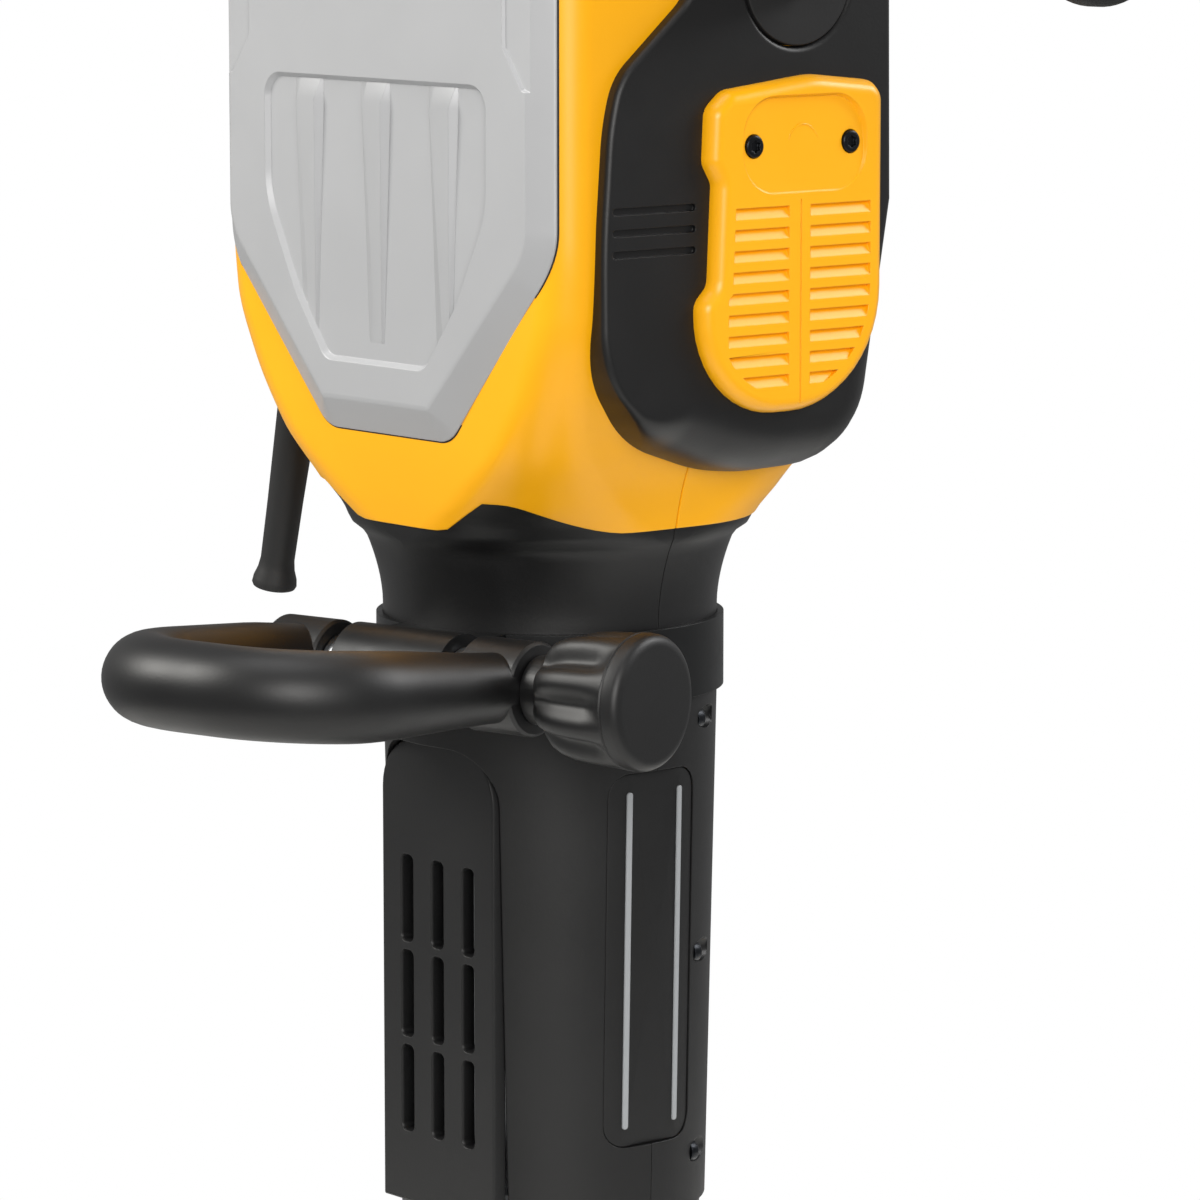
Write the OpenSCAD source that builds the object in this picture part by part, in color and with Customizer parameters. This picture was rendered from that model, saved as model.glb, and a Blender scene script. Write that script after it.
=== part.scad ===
// Electric demolition hammer (pavement breaker), built as separate pieces.
// +Z runs up the hammer axis from the mouth of the tool socket, -Y is the front, millimetres.

/* [Housing] */
// Width of the motor housing
body_w = 200; // [190:1:240]
// Depth of the motor housing
body_d = 154; // [150:1:170]
// Corner radius of the motor housing
body_r = 14; // [8:1:24]
// Wall of the housing shells
body_wall = 4; // [3:0.5:6]
// Height at which the housing starts to taper towards the neck
taper_top_z = 490; // [475:1:520]
// Height of the middle of the taper
taper_mid_z = 440; // [436:1:460]
// Width of the housing in the middle of the taper
taper_mid_w = 164; // [160:1:176]
// Height of the housing's lower edge
body_bottom_z = 407; // [402:1:412]
// Width of the housing at its lower edge
body_bottom_w = 142; // [140:1:156]
// Depth of the housing at its lower edge
body_bottom_d = 140; // [138:1:148]
// Height of the joint between the housing and the top cap
body_top_z = 716; // [700:1:740]
// Height of the top cap
cap_h = 74; // [50:1:90]

/* [Front cover] */
// Width of the front cover plate
plate_w = 190; // [160:1:196]
// Width of the plate's top and bottom edges
plate_end_w = 76; // [60:1:100]
// How far the plate's middle stands out of the housing's front
plate_proud = 5; // [1:0.1:6]
// Height of the plate's bottom edge
plate_bottom_z = 441; // [438:1:450]
// Height of the plate's top edge
plate_top_z = 700; // [660:1:712]
// Height taken by each pair of cut corners
plate_corner_h = 66; // [40:1:80]
// Thickness of the plate's lip behind the housing wall
plate_lip_t = 2; // [1.5:0.1:3]
// Width of the plate's lip round the opening
plate_lip_w = 1.5; // [1:0.1:2]

/* [Side panels] */
// Thickness of the side panels
wing_t = 5; // [4:0.5:7]
// Thickness of the vent covers
cover_t = 6; // [4:0.5:8]
// Spacing of the louvres
louvre_pitch = 7.5; // [6:0.5:9]
// Number of louvres in a column
louvre_count = 9; // [5:1:9]
// Distance between the two screws of a vent cover
cover_screw_span = 46; // [40:1:50]

/* [Barrel] */
// Radius of the barrel at the handle clamp
barrel_r = 62; // [60:0.5:64]
// Radius of the barrel at its lower end
barrel_low_r = 58; // [57:0.5:60]
// Radius of the neck where it meets the housing
neck_r = 71; // [69:0.5:72]
// Wall of the barrel shells
barrel_wall = 4; // [3:0.5:5]
// Distance of the flat vent panel from the hammer axis
vent_flat_y = 54; // [53:0.5:56]
// Height of a vent slot
vent_slot_h = 33; // [24:1:34]
// Width of a vent slot
vent_slot_w = 8; // [4:0.5:9]
// Spacing of the slot columns
vent_pitch_x = 18; // [14:1:20]

/* [Side handle] */
// Height of the handle clamp's centre
strap_z = 357; // [350:1:362]
// Width of the clamp strap
strap_w = 27; // [22:1:30]
// Thickness of the clamp strap
strap_t = 2.4; // [2:0.1:3]
// Angle of the side handle from the front, about the barrel
side_angle = 14; // [0:1:40]
// Distance of the cross bolt outside the barrel
bolt_out = 23; // [20:1:30]
// Half spacing of the loop's two legs
loop_half_w = 46; // [42:1:48]
// Radius of the loop's tube
loop_tube_r = 16; // [13:0.5:16.5]
// Bend radius of the loop's corners
loop_bend_r = 38; // [32:1:40]
// Length of the loop's legs from the bolt to the bends
loop_leg = 77; // [60:1:90]
// Upward tilt of the loop
loop_tilt = 5; // [0:1:8]
// Radius of the clamp knob
knob_r = 25; // [22:0.5:27]
// Length of the clamp knob
knob_h = 51; // [42:1:54]
// Number of flutes round the knob
knob_flutes = 8; // [6:1:10]

/* [Main handles] */
// Height of the handle pivots
arm_z = 607; // [603:1:612]
// Distance of the handle arms behind the hammer axis
arm_y = 28; // [24:1:32]
// Distance of the handle pivots outside the housing's side
pivot_out = 1; // [0:0.5:3]
// Radius of a handle arm
arm_r = 20; // [18:0.5:21]
// Height of the grip axis
grip_z = 637; // [630:1:645]
// Distance of the grips' inner ends outside the housing's side
grip_out = 60; // [55:1:70]
// Length of a grip
grip_len = 112; // [105:1:150]
// Radius of a grip
grip_r = 19; // [17:0.5:21]
// Radius of the guard at a grip's outer end
grip_guard_r = 36; // [28:1:38]

/* [Tool holder] */
// Height of the tool holder, from the mouth to the barrel
nose_h = 150; // [145:1:160]
// Width across the flats of the hexagonal socket
socket_af = 29.2; // [28.8:0.1:32]
// Depth of the hexagonal socket
socket_depth = 146; // [130:1:148]
// Radius of the tool holder at the mouth
nose_r = 32; // [30:0.5:33]
// Radius of the tool holder's flange
flange_r = 56; // [54:0.5:57]
// Height of the latch pivots
latch_z = 40; // [34:1:50]
// Drop of the latch's yoke below the mouth
latch_drop = 38; // [32:1:44]

/* [Drive] */
// Height of the crankshaft
crank_z = 500; // [498:1:502]
// Throw of the crank
crank_throw = 30; // [24:1:30]
// Module of the slow gear pair
slow_module = 2; // [1.5:0.25:2]
// Teeth of the slow pinion
slow_pinion_teeth = 13; // [13:1:14]
// Teeth of the crank gear
crank_gear_teeth = 52; // [48:1:53]
// Module of the fast gear pair
fast_module = 1; // [0.8:0.1:1]
// Teeth of the motor pinion
motor_pinion_teeth = 12; // [12:1:13]
// Teeth of the fast gear
fast_gear_teeth = 63; // [60:1:64]
// Radius of the motor's stator
stator_r = 48; // [44:0.5:49]
// Length of the stator
stator_len = 68; // [60:1:70]
// Radius of the hammer cylinder's bore
cylinder_r = 31; // [28:0.5:32]
// Length of the connecting rod between its centres
rod_len = 100; // [96:1:102]
// Length of the ram
ram_len = 60; // [50:1:64]
// Upward travel of the striker
striker_travel = 12; // [8:1:14]

/* [Cord guard] */
// Length of the cord guard
guard_len = 78; // [60:1:80]
// Outward lean of the cord guard
guard_lean = 13; // [4:1:14]
// Radius of the hole for the cord
cord_r = 5.2; // [4.5:0.1:6]

/* [Hidden] */
$fn = 96;
round_fn = 32;
fit = 0.05;
gap = 0.3;
eps = 0.01;

/* Heights and places worked out from the sizes above */
cap_top_z = body_top_z + cap_h;
cap_side_h = 33;
side_x = body_w / 2;
wing_x = side_x + wing_t;
cover_x = wing_x + cover_t;
front_y = -body_d / 2;
pivot_x = side_x + pivot_out;
grip_start_x = side_x + grip_out;
bolt_reach = barrel_r + bolt_out;
screw_head_r = 4;
screw_head_h = 4;
screw_shank_r = 2.2;
screw_hole_r = 2.3;
pressure_angle = 25;
slow_centres = slow_module * (slow_pinion_teeth + crank_gear_teeth) / 2;
fast_centres = fast_module * (motor_pinion_teeth + fast_gear_teeth) / 2;
middle_z = crank_z + slow_centres;
motor_z = middle_z + fast_centres;
wrist_z = crank_z - crank_throw - rod_len;
piston_r = cylinder_r - fit;
piston_low = 20;
piston_high = 20;
cylinder_wall = 5;
cylinder_top_z = 438;
guide_top_z = 239.7;
ram_low_z = guide_top_z + 0.5;
striker_top_z = guide_top_z - 0.2 - striker_travel;
striker_head_r = 20;
striker_tip_r = 13;
striker_step_z = 186;
strap_inner_r = barrel_r + 0.1;
bolt_r = 5;
clamp_half_w = 24;
eye_near = 32;
eye_far = 57.6;
eye_r = 17;
wing_outline = [
    [-62, 462], [-62, 566], [-58, 580], [-16, 603], [0, 640], [0, 690], [40, 704], [72, 696],
    [72, 527], [68, 480], [60, 456], [41, 440], [12, 432], [-17, 433], [-45, 438], [-58, 448]
];
cover_mid_y = 23;
cover_screw_z = 547.5;
cover_outline = [
    [-20, 566], [-12, 571], [30, 572], [64, 568], [64, 490], [54, 473], [38, 461], [14, 453], [-3, 457],
    [-22, 480], [-24.5, 491], [-19, 497], [-18, 534], [-22, 541]
];

/* Shapes used by several pieces */

// Flat rounded rectangle centred on the axis
module rounded_rect(w, d, r) {
    square([w - 2 * r, d], center = true);
    square([w, d - 2 * r], center = true);
    for (sx = [-1, 1], sy = [-1, 1]) {
        translate([sx * (w / 2 - r), sy * (d / 2 - r)]) circle(r);
    }
}

// Turns a flat shape so that its x lies along Y and its y along Z, standing from x0 to x0 + len
module stand_x(x0, len) {
    translate([x0, 0, 0]) rotate([90, 0, 90]) linear_extrude(len) children();
}

// Round bar along X
module bar_x(r, x0, x1, y, z) {
    translate([x0, y, z]) rotate([0, 90, 0]) cylinder(r = r, h = x1 - x0);
}

// Round bar along Y
module bar_y(r, y0, y1, x, z) {
    translate([x, y0, z]) rotate([-90, 0, 0]) cylinder(r = r, h = y1 - y0);
}

// Ring along X
module ring_x(ro, ri, x0, x1, y, z) {
    difference() {
        bar_x(ro, x0, x1, y, z);
        bar_x(ri, x0 - 1, x1 + 1, y, z);
    }
}

// Child shape and its copy on the other side of the hammer
module both_sides() {
    children();
    mirror([1, 0, 0]) children();
}

// Frame of the side handle: local -Y points out of the barrel along the handle, local X along the bolt
module side_frame() {
    translate([0, 0, strap_z]) rotate([0, 0, side_angle]) children();
}

// Flank point of an involute tooth, on the circle of radius r, measured from the tooth's middle
function inv(a) = tan(a) * 180 / PI - a;
function flank_angle(r, rb, rp, half) = half + inv(pressure_angle) - inv(acos(min(1, rb / r)));

// Involute spur gear outline with one tooth centred on the x axis
module gear_outline(teeth, m, backlash) {
    rp = m * teeth / 2;
    rb = rp * cos(pressure_angle);
    ra = rp + 0.95 * m;
    rf = rp - 1.25 * m;
    half = 90 / teeth - backlash / rp * 90 / PI;
    r0 = max(rb, rf);
    steps = 5;
    radii = [for (i = [0:steps]) r0 + (ra - r0) * i / steps];
    up = [for (r = radii) [r, -flank_angle(r, rb, rp, half)]];
    down = [for (i = [steps:-1:0]) [radii[i], flank_angle(radii[i], rb, rp, half)]];
    foot = flank_angle(r0, rb, rp, half);
    tooth = concat([[rf, -foot]], up, down, [[rf, foot]]);
    polygon([
        for (k = [0:teeth - 1], p = tooth) p[0] * [cos(p[1] + 360 * k / teeth), sin(p[1] + 360 * k / teeth)]
    ]);
}

/* Motor housing */

// Outline of a rounded rectangle whose corners have flat steps, on a grid of 0.01 mm
function grid(v) = round(v * 100) / 100;
function corner_point(q, turn, w, d, r) = [
    grid((q % 3 == 0 ? 1 : -1) * (w / 2 - r) + r * cos(90 * (q + turn))),
    grid((q < 2 ? 1 : -1) * (d / 2 - r) + r * sin(90 * (q + turn)))
];
function section_points(w, d, r) = [for (q = [0:3], i = [0:7]) corner_point(q, i / 7, w, d, r)];

// One slice of the housing's outer form, drawn in by the given amount
slice_t = 0.5;
module housing_slice(w, d, r, z, inset, h = slice_t) {
    translate([0, 0, z]) linear_extrude(h) polygon(section_points(w - 2 * inset, d - 2 * inset, r));
}

module housing_form(inset, top_z, bottom_z) {
    housing_slice(body_w, body_d, body_r - inset / 2, taper_top_z, inset, top_z - taper_top_z);
    hull() {
        housing_slice(body_w, body_d, body_r - inset / 2, taper_top_z - slice_t, inset);
        housing_slice(taper_mid_w, body_d - 4, 24, taper_mid_z, inset);
    }
    hull() {
        housing_slice(taper_mid_w, body_d - 4, 24, taper_mid_z - slice_t, inset);
        housing_slice(body_bottom_w, body_bottom_d, 60, bottom_z, inset);
    }
}

// Opening through the housing wall and side panel for a handle arm, with the seat of its pivot pin
arm_hole_r = arm_r + 5;
pivot_pin_r = 4;
pin_half = arm_hole_r + 4;
module arm_opening() {
    bar_x(arm_hole_r, side_x - body_wall - 1, wing_x + 1, arm_y, arm_z);
    bar_y(pivot_pin_r + 0.02, arm_y - pin_half, arm_y + pin_half, pivot_x, arm_z);
}

// Air opening behind a vent cover
module vent_window() {
    stand_x(side_x - body_wall - 1, body_wall + wing_t + 2)
        translate([cover_mid_y, 500]) rounded_rect(56, 62, 8);
}

// Opening in the housing's front that the cover plate fills, wider behind the wall for the plate's lip
module plate_opening() {
    lip_y = front_y + body_wall;
    translate([0, lip_y + 3, 0]) rotate([90, 0, 0]) linear_extrude(body_wall + 6)
        offset(delta = gap / 2) plate_outline(0, $fn = round_fn);
    translate([0, lip_y + plate_lip_t + 1, 0]) rotate([90, 0, 0]) linear_extrude(plate_lip_t + 1 + gap)
        offset(delta = gap) plate_outline(-plate_lip_w, $fn = round_fn);
}

// Screw posts of the housing, drilled from the rear
post_r = 6;
post_screw_h = body_d - 18;
module housing_shell() {
    difference() {
        housing_form(0, body_top_z, body_bottom_z);
        housing_form(body_wall, body_top_z + 1, body_bottom_z - 1);
        both_sides() arm_opening();
        both_sides() vent_window();
        both_sides() vent_screw_places() cylinder(r = screw_hole_r, h = 40);
        housing_screw_places() cylinder(r = screw_hole_r, h = post_screw_h);
        plate_opening();
        cord_gland() guard_clearance();
    }
    difference() {
        housing_screw_places() translate([0, 0, 3]) cylinder(r = post_r, h = body_d - post_r);
        housing_screw_places() cylinder(r = screw_hole_r, h = post_screw_h);
        plate_opening();
    }
}

// Everything in front of the middle (-1) or behind it (1)
reach = 400;
module half_space(sign) {
    translate([-reach, sign > 0 ? 0 : -reach, -reach]) cube([2 * reach, reach, 4 * reach]);
}

module front_housing() {
    color("#f9b81a") intersection() {
        housing_shell();
        half_space(-1);
    }
}

module rear_housing() {
    color("#f9b81a") difference() {
        intersection() {
            housing_shell();
            half_space(1);
        }
        housing_screw_places() cylinder(r = screw_head_r + gap, h = 8);
    }
}

// Screw axes of the housing, pointing forward from the rear face
module housing_screw_places() {
    for (z = [taper_top_z + 30, body_top_z - 60], sx = [-1, 1]) {
        translate([sx * (side_x - body_wall - 5), -front_y + 1, z]) rotate([90, 0, 0]) children();
    }
}

// Cap screw with a six-sided drive, head at the bottom, shank along +Z
module cap_screw(shank_h, head_h = screw_head_h) {
    difference() {
        cylinder(r = screw_head_r, h = head_h);
        translate([0, 0, -eps]) cylinder(r = 1.8, h = head_h / 2, $fn = 6);
    }
    translate([0, 0, head_h - eps]) cylinder(r = screw_shank_r, h = shank_h);
}

module housing_screws() {
    color("#202124") housing_screw_places() translate([0, 0, 4]) cap_screw(50);
}

module plate_outline(inset) {
    w = plate_w / 2 - inset;
    e = plate_end_w / 2 - inset / 2;
    b = plate_bottom_z + inset;
    t = plate_top_z - inset;
    c = plate_corner_h - inset / 2;
    offset(r = 6) offset(delta = -6)
        polygon([
            [-e, b], [e, b], [w, b + c], [w, t - c / 2], [e + 30, t], [-e - 30, t], [-w, t - c / 2], [-w, b + c]
        ]);
}

// Front cover plate with a recessed field, three upright ribs and a lip behind the housing wall
module front_cover_plate() {
    rib_top_z = 592;
    rib_h = 92;
    rib_top_half_w = 7;
    rib_low_half_w = 3;
    rib_pitch = 39;
    recess_inset = 17;
    recess_depth = 1.4;
    border_proud = 0.6;
    border_w = 8;
    face_y = front_y - plate_proud;
    back_y = front_y + body_wall + plate_lip_t;
    color("#b4b6b8") difference() {
        union() {
            translate([0, back_y, 0]) rotate([90, 0, 0]) linear_extrude(back_y - face_y)
                plate_outline(border_w, $fn = round_fn);
            translate([0, back_y, 0]) rotate([90, 0, 0]) linear_extrude(back_y - front_y + border_proud)
                plate_outline(0, $fn = round_fn);
            translate([0, back_y, 0]) rotate([90, 0, 0]) linear_extrude(plate_lip_t)
                plate_outline(-plate_lip_w, $fn = round_fn);
        }
        difference() {
            translate([0, face_y + recess_depth, 0]) rotate([90, 0, 0]) linear_extrude(3)
                intersection() {
                    plate_outline(recess_inset, $fn = round_fn);
                    translate([-side_x, 0]) square([body_w, rib_top_z + 8]);
                }
            for (sx = [-1:1]) {
                translate([sx * rib_pitch, face_y + 2, rib_top_z]) rotate([90, 0, 0]) linear_extrude(1.8)
                    polygon([
                        [-rib_top_half_w, 0], [rib_top_half_w, 0],
                        [rib_low_half_w, -rib_h], [-rib_low_half_w, -rib_h]
                    ]);
            }
        }
    }
}

module top_cap() {
    color("#1d1e20") difference() {
        union() {
            housing_slice(body_w, body_d, body_r, body_top_z, 0, cap_side_h);
            hull() {
                housing_slice(body_w, body_d, body_r, body_top_z + cap_side_h - slice_t, 0);
                housing_slice(cap_top_w, cap_top_d, body_r + 6, cap_top_z - slice_t, 0);
            }
        }
        housing_slice(body_w, body_d, body_r - 2, body_top_z - 1, body_wall, cap_side_h);
        cap_screw_places() cylinder(r = screw_head_r + gap, h = 12);
        cap_screw_places() cylinder(r = screw_hole_r, h = 80);
    }
}

cap_top_w = body_w - 50;
cap_top_d = body_d - 40;
cap_screw_inset_x = 15;
cap_screw_inset_y = 13;
module cap_screw_places() {
    for (sx = [-1, 1], sy = [-1, 1]) {
        x = sx * (cap_top_w / 2 - cap_screw_inset_x);
        y = sy * (cap_top_d / 2 - cap_screw_inset_y);
        translate([x, y, cap_top_z + 1]) rotate([180, 0, 0]) children();
    }
}

module top_cap_screws() {
    color("#202124") cap_screw_places() translate([0, 0, 8]) cap_screw(40);
}

/* Side panels and vent covers */

groove_y = -58;
groove_z = 527;
groove_len = 38;
groove_h = 2.4;
groove_depth = 1.5;
module side_panel() {
    color("#1d1e20") difference() {
        stand_x(side_x, wing_t) offset(r = 8, $fn = round_fn) offset(delta = -8) polygon(wing_outline);
        arm_opening();
        for (i = [0:2]) {
            translate([wing_x - groove_depth, groove_y, groove_z - i * louvre_pitch - groove_h / 2])
                cube([groove_depth + 1, groove_len, groove_h]);
        }
        vent_window();
        vent_screw_places() cylinder(r = screw_hole_r, h = 40);
        cord_gland() guard_clearance();
    }
}

module right_side_panel() {
    side_panel();
}

module left_side_panel() {
    mirror([1, 0, 0]) difference() {
        side_panel();
        mirror([1, 0, 0]) cord_gland() guard_clearance();
    }
}

module vent_screw_places() {
    for (sy = [-1, 1]) {
        translate([cover_x + 1, cover_mid_y + 3 + sy * cover_screw_span / 2, cover_screw_z]) rotate([0, -90, 0])
            children();
    }
}

pocket_w = 59;
pocket_h = 35;
pocket_r = 13;
pocket_depth = 2.2;
louvre_top_z = 524;
louvre_h = 3.6;
louvre_w = 27;
louvre_near_y = -8;
louvre_far_y = 31;
module vent_cover() {
    color("#f9b81a") difference() {
        stand_x(wing_x, cover_t) offset(r = 4, $fn = round_fn) offset(delta = -4) polygon(cover_outline);
        stand_x(cover_x - pocket_depth, pocket_depth + 1) translate([cover_mid_y + 3.5, cover_screw_z])
            rounded_rect(pocket_w, pocket_h, pocket_r);
        for (i = [0:louvre_count - 1]) {
            low = max(0, i - louvre_count + 3) * 4;
            low_z = louvre_top_z - i * louvre_pitch - 2;
            translate([wing_x - 1, louvre_near_y + low, low_z]) cube([cover_t + 2, louvre_w - low, louvre_h]);
            translate([wing_x - 1, louvre_far_y, low_z]) cube([cover_t + 2, louvre_w - low, louvre_h]);
        }
        vent_screw_places() cylinder(r = screw_hole_r, h = 40);
    }
}

module right_vent_cover() {
    vent_cover();
}

module left_vent_cover() {
    mirror([1, 0, 0]) vent_cover();
}

module vent_cover_screws() {
    color("#202124") both_sides() vent_screw_places() translate([0, 0, 1.2]) cap_screw(12, 2);
}

/* Barrel */

// Outer or inner form of the barrel, as a turned profile from the flange to the neck
module barrel_form(inset, low_z, high_z) {
    seat = strap_w / 2 + 3;
    flare_h = high_z - strap_z - seat;
    rotate_extrude() polygon(concat(
        [[0, low_z], [barrel_low_r - inset, low_z], [barrel_r - inset, strap_z - seat]],
        [for (i = [0:8]) [
            barrel_r - inset + (neck_r - barrel_r) * (1 - cos(90 * i / 8)),
            strap_z + seat + flare_h * sin(90 * i / 8)
        ]],
        [[0, high_z]]
    ));
}

vent_top_z = 326;
vent_half_w = 33;
vent_slot_top_z = 282;
vent_bridge = 3;
module barrel_shell() {
    seam = gap;
    difference() {
        barrel_form(0, nose_h, body_bottom_z - seam);
        barrel_form(barrel_wall, nose_h - 1, body_bottom_z + 1);
        translate([-vent_half_w, -90, nose_h - 1]) cube([2 * vent_half_w, 90 - vent_flat_y, vent_top_z - nose_h + 1]);
        barrel_screw_places() cylinder(r = screw_head_r + gap, h = 8);
        barrel_screw_places() cylinder(r = screw_hole_r, h = 60);
        difference() {
            label_field(0);
            barrel_form(label_depth, nose_h, body_bottom_z);
        }
    }
    intersection() {
        barrel_form(0.5, nose_h, vent_top_z + barrel_wall);
        vent_panel();
    }
    barrel_bosses();
}

// Flat panel with three columns of slots, each column of three slots with bridges between
module vent_panel() {
    difference() {
        translate([-vent_half_w - 3, -vent_flat_y, nose_h])
            cube([2 * vent_half_w + 6, barrel_wall, vent_top_z - nose_h]);
        for (col = [-1:1], row = [0:2]) {
            translate([col * vent_pitch_x, 0, vent_slot_top_z - row * (vent_slot_h + vent_bridge)]) vent_slot();
        }
    }
}

module vent_slot() {
    translate([-vent_slot_w / 2, -vent_flat_y - 1, -vent_slot_h]) cube([vent_slot_w, barrel_wall + 2, vent_slot_h]);
}

barrel_screw_y = 31;
barrel_screw_zs = [334, 246, 170];
// Distance of a barrel screw from the middle plane at a height, following the barrel's taper
function barrel_screw_x(z) = barrel_low_r - 8 + (barrel_r - barrel_low_r) * (z - nose_h) / (strap_z - nose_h);
module barrel_screw_places() {
    for (z = barrel_screw_zs, sx = [-1, 1]) {
        translate([sx * barrel_screw_x(z), barrel_screw_y, z]) rotate([90, 0, 0]) children();
    }
}

module barrel_bosses() {
    intersection() {
        barrel_form(barrel_wall / 2, nose_h, body_bottom_z - gap);
        difference() {
            barrel_screw_places() translate([0, 0, 8]) cylinder(r = 4.5, h = 40);
            barrel_screw_places() cylinder(r = screw_hole_r, h = 60);
        }
    }
}

label_h = 140;
label_w = 42;
label_z = 248;
label_depth = 1.2;
// Block on each side of the barrel that holds a label plate, drawn in by the given amount
module label_field(inset) {
    both_sides() translate([barrel_low_r / 2, inset - label_w / 2, label_z - label_h / 2 + inset])
        cube([barrel_r, label_w - 2 * inset, label_h - 2 * inset]);
}

module barrel_front_shell() {
    color("#1d1e20") intersection() {
        barrel_shell();
        half_space(-1);
    }
}

module barrel_rear_shell() {
    color("#1d1e20") intersection() {
        barrel_shell();
        half_space(1);
    }
}

module barrel_screws() {
    color("#202124") barrel_screw_places() translate([0, 0, 4]) cap_screw(30);
}

// Plain label plates in the recesses on both sides of the barrel
module label_plates() {
    color("#b9bbbd") intersection() {
        label_field(gap);
        difference() {
            barrel_form(0, nose_h, body_bottom_z);
            barrel_form(label_depth, nose_h - 1, body_bottom_z + 1);
        }
    }
}

/* Side handle and its clamp */

module clamp_strap() {
    color("#2a2b2d") side_frame() difference() {
        translate([0, 0, -strap_w / 2]) cylinder(r = strap_inner_r + strap_t, h = strap_w);
        translate([0, 0, -strap_w / 2 - 1]) cylinder(r = strap_inner_r, h = strap_w + 2);
        translate([-clamp_half_w - gap, -100, -strap_w]) cube([2 * clamp_half_w + 2 * gap, 60, 2 * strap_w]);
    }
}

module clamp_block() {
    color("#202124") side_frame() difference() {
        union() {
            translate([-clamp_half_w, -bolt_reach, -strap_w / 2]) cube([2 * clamp_half_w, bolt_reach - 50, strap_w]);
            translate([-clamp_half_w, -bolt_reach, 0]) rotate([0, 90, 0]) cylinder(r = eye_r, h = 2 * clamp_half_w);
        }
        translate([0, 0, -strap_w]) cylinder(r = strap_inner_r, h = 2 * strap_w);
        bolt_bore(bolt_r + fit);
    }
}

module bolt_bore(r) {
    translate([-reach / 2, -bolt_reach, 0]) rotate([0, 90, 0]) cylinder(r = r, h = reach);
}

bolt_head_x = -eye_far - gap;
module clamp_bolt() {
    head_h = 8;
    color("#8d9094") side_frame() translate([0, -bolt_reach, 0]) rotate([0, 90, 0]) {
        translate([0, 0, bolt_head_x - head_h]) cylinder(r = 9, h = head_h, $fn = 6);
        translate([0, 0, bolt_head_x - eps]) cylinder(r = bolt_r, h = eye_far + knob_h - 12 - bolt_head_x);
        for (sx = [-1, 1]) {
            translate([0, 0, sx * (clamp_half_w + eye_near) / 2 - 3.5]) cylinder(r = 12, h = 7);
        }
    }
}

// Loop of the side handle: two eyes on the bolt, two legs and a rounded end
module side_handle() {
    bend_y = -bolt_reach;
    end_half = loop_half_w - loop_bend_r;
    color("#1d1e20") side_frame() difference() {
        translate([0, bend_y, 0]) rotate([-loop_tilt, 0, 0]) {
            for (sx = [-1, 1]) {
                translate([sx * loop_half_w, 0, 0]) rotate([90, 0, 0]) cylinder(r = loop_tube_r, h = loop_leg);
                translate([sx * end_half, -loop_leg, 0]) rotate([0, 0, sx > 0 ? -90 : 180])
                    rotate_extrude(angle = 90) translate([loop_bend_r, 0]) circle(loop_tube_r);
                translate([sx * (eye_near + eye_far) / 2, 0, 0]) rotate([0, 90, 0])
                    cylinder(r = eye_r, h = eye_far - eye_near + 4, center = true);
            }
            translate([-end_half, -loop_leg - loop_bend_r, 0]) rotate([0, 90, 0])
                cylinder(r = loop_tube_r, h = 2 * end_half);
        }
        bolt_bore(bolt_r + fit);
        translate([-eye_near, -bolt_reach - eye_r - 4, -30]) cube([2 * eye_near, eye_r * 2 + 8, 60]);
        translate([eye_far, -bolt_reach - eye_r - 4, -30]) cube([30, eye_r * 2 + 8, 60]);
        translate([-eye_far - 30, -bolt_reach - eye_r - 4, -30]) cube([30, eye_r * 2 + 8, 60]);
    }
}

// Fluted hand knob on the end of the cross bolt
module clamp_knob() {
    neck_h = 14;
    neck_r = 12;
    flute_r = 6;
    color("#232426") side_frame() translate([eye_far + gap, -bolt_reach, 0]) rotate([0, 90, 0]) difference() {
        union() {
            cylinder(r = neck_r, h = neck_h);
            translate([0, 0, neck_h - 2]) cylinder(r1 = 16, r2 = knob_r, h = 8);
            translate([0, 0, neck_h + 6]) cylinder(r = knob_r, h = knob_h - neck_h - 8);
            translate([0, 0, knob_h - 2]) cylinder(r1 = knob_r, r2 = knob_r - 2, h = 2);
        }
        translate([0, 0, -1]) cylinder(r = bolt_r + fit, h = knob_h - 8);
        for (k = [0:knob_flutes - 1]) {
            rotate([0, 0, (k + 0.5) * 360 / knob_flutes]) translate([knob_r + 3, 0, -1])
                cylinder(r = flute_r, h = knob_h - 4);
        }
    }
}

/* Main handles */

// Disc used to draw the arm as a smooth bar
module arm_disc(r, x, y, z, tilt) {
    translate([x, y, z]) rotate([0, 90 - tilt, 0]) cylinder(r = r, h = 1, center = true, $fn = round_fn);
}

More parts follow.
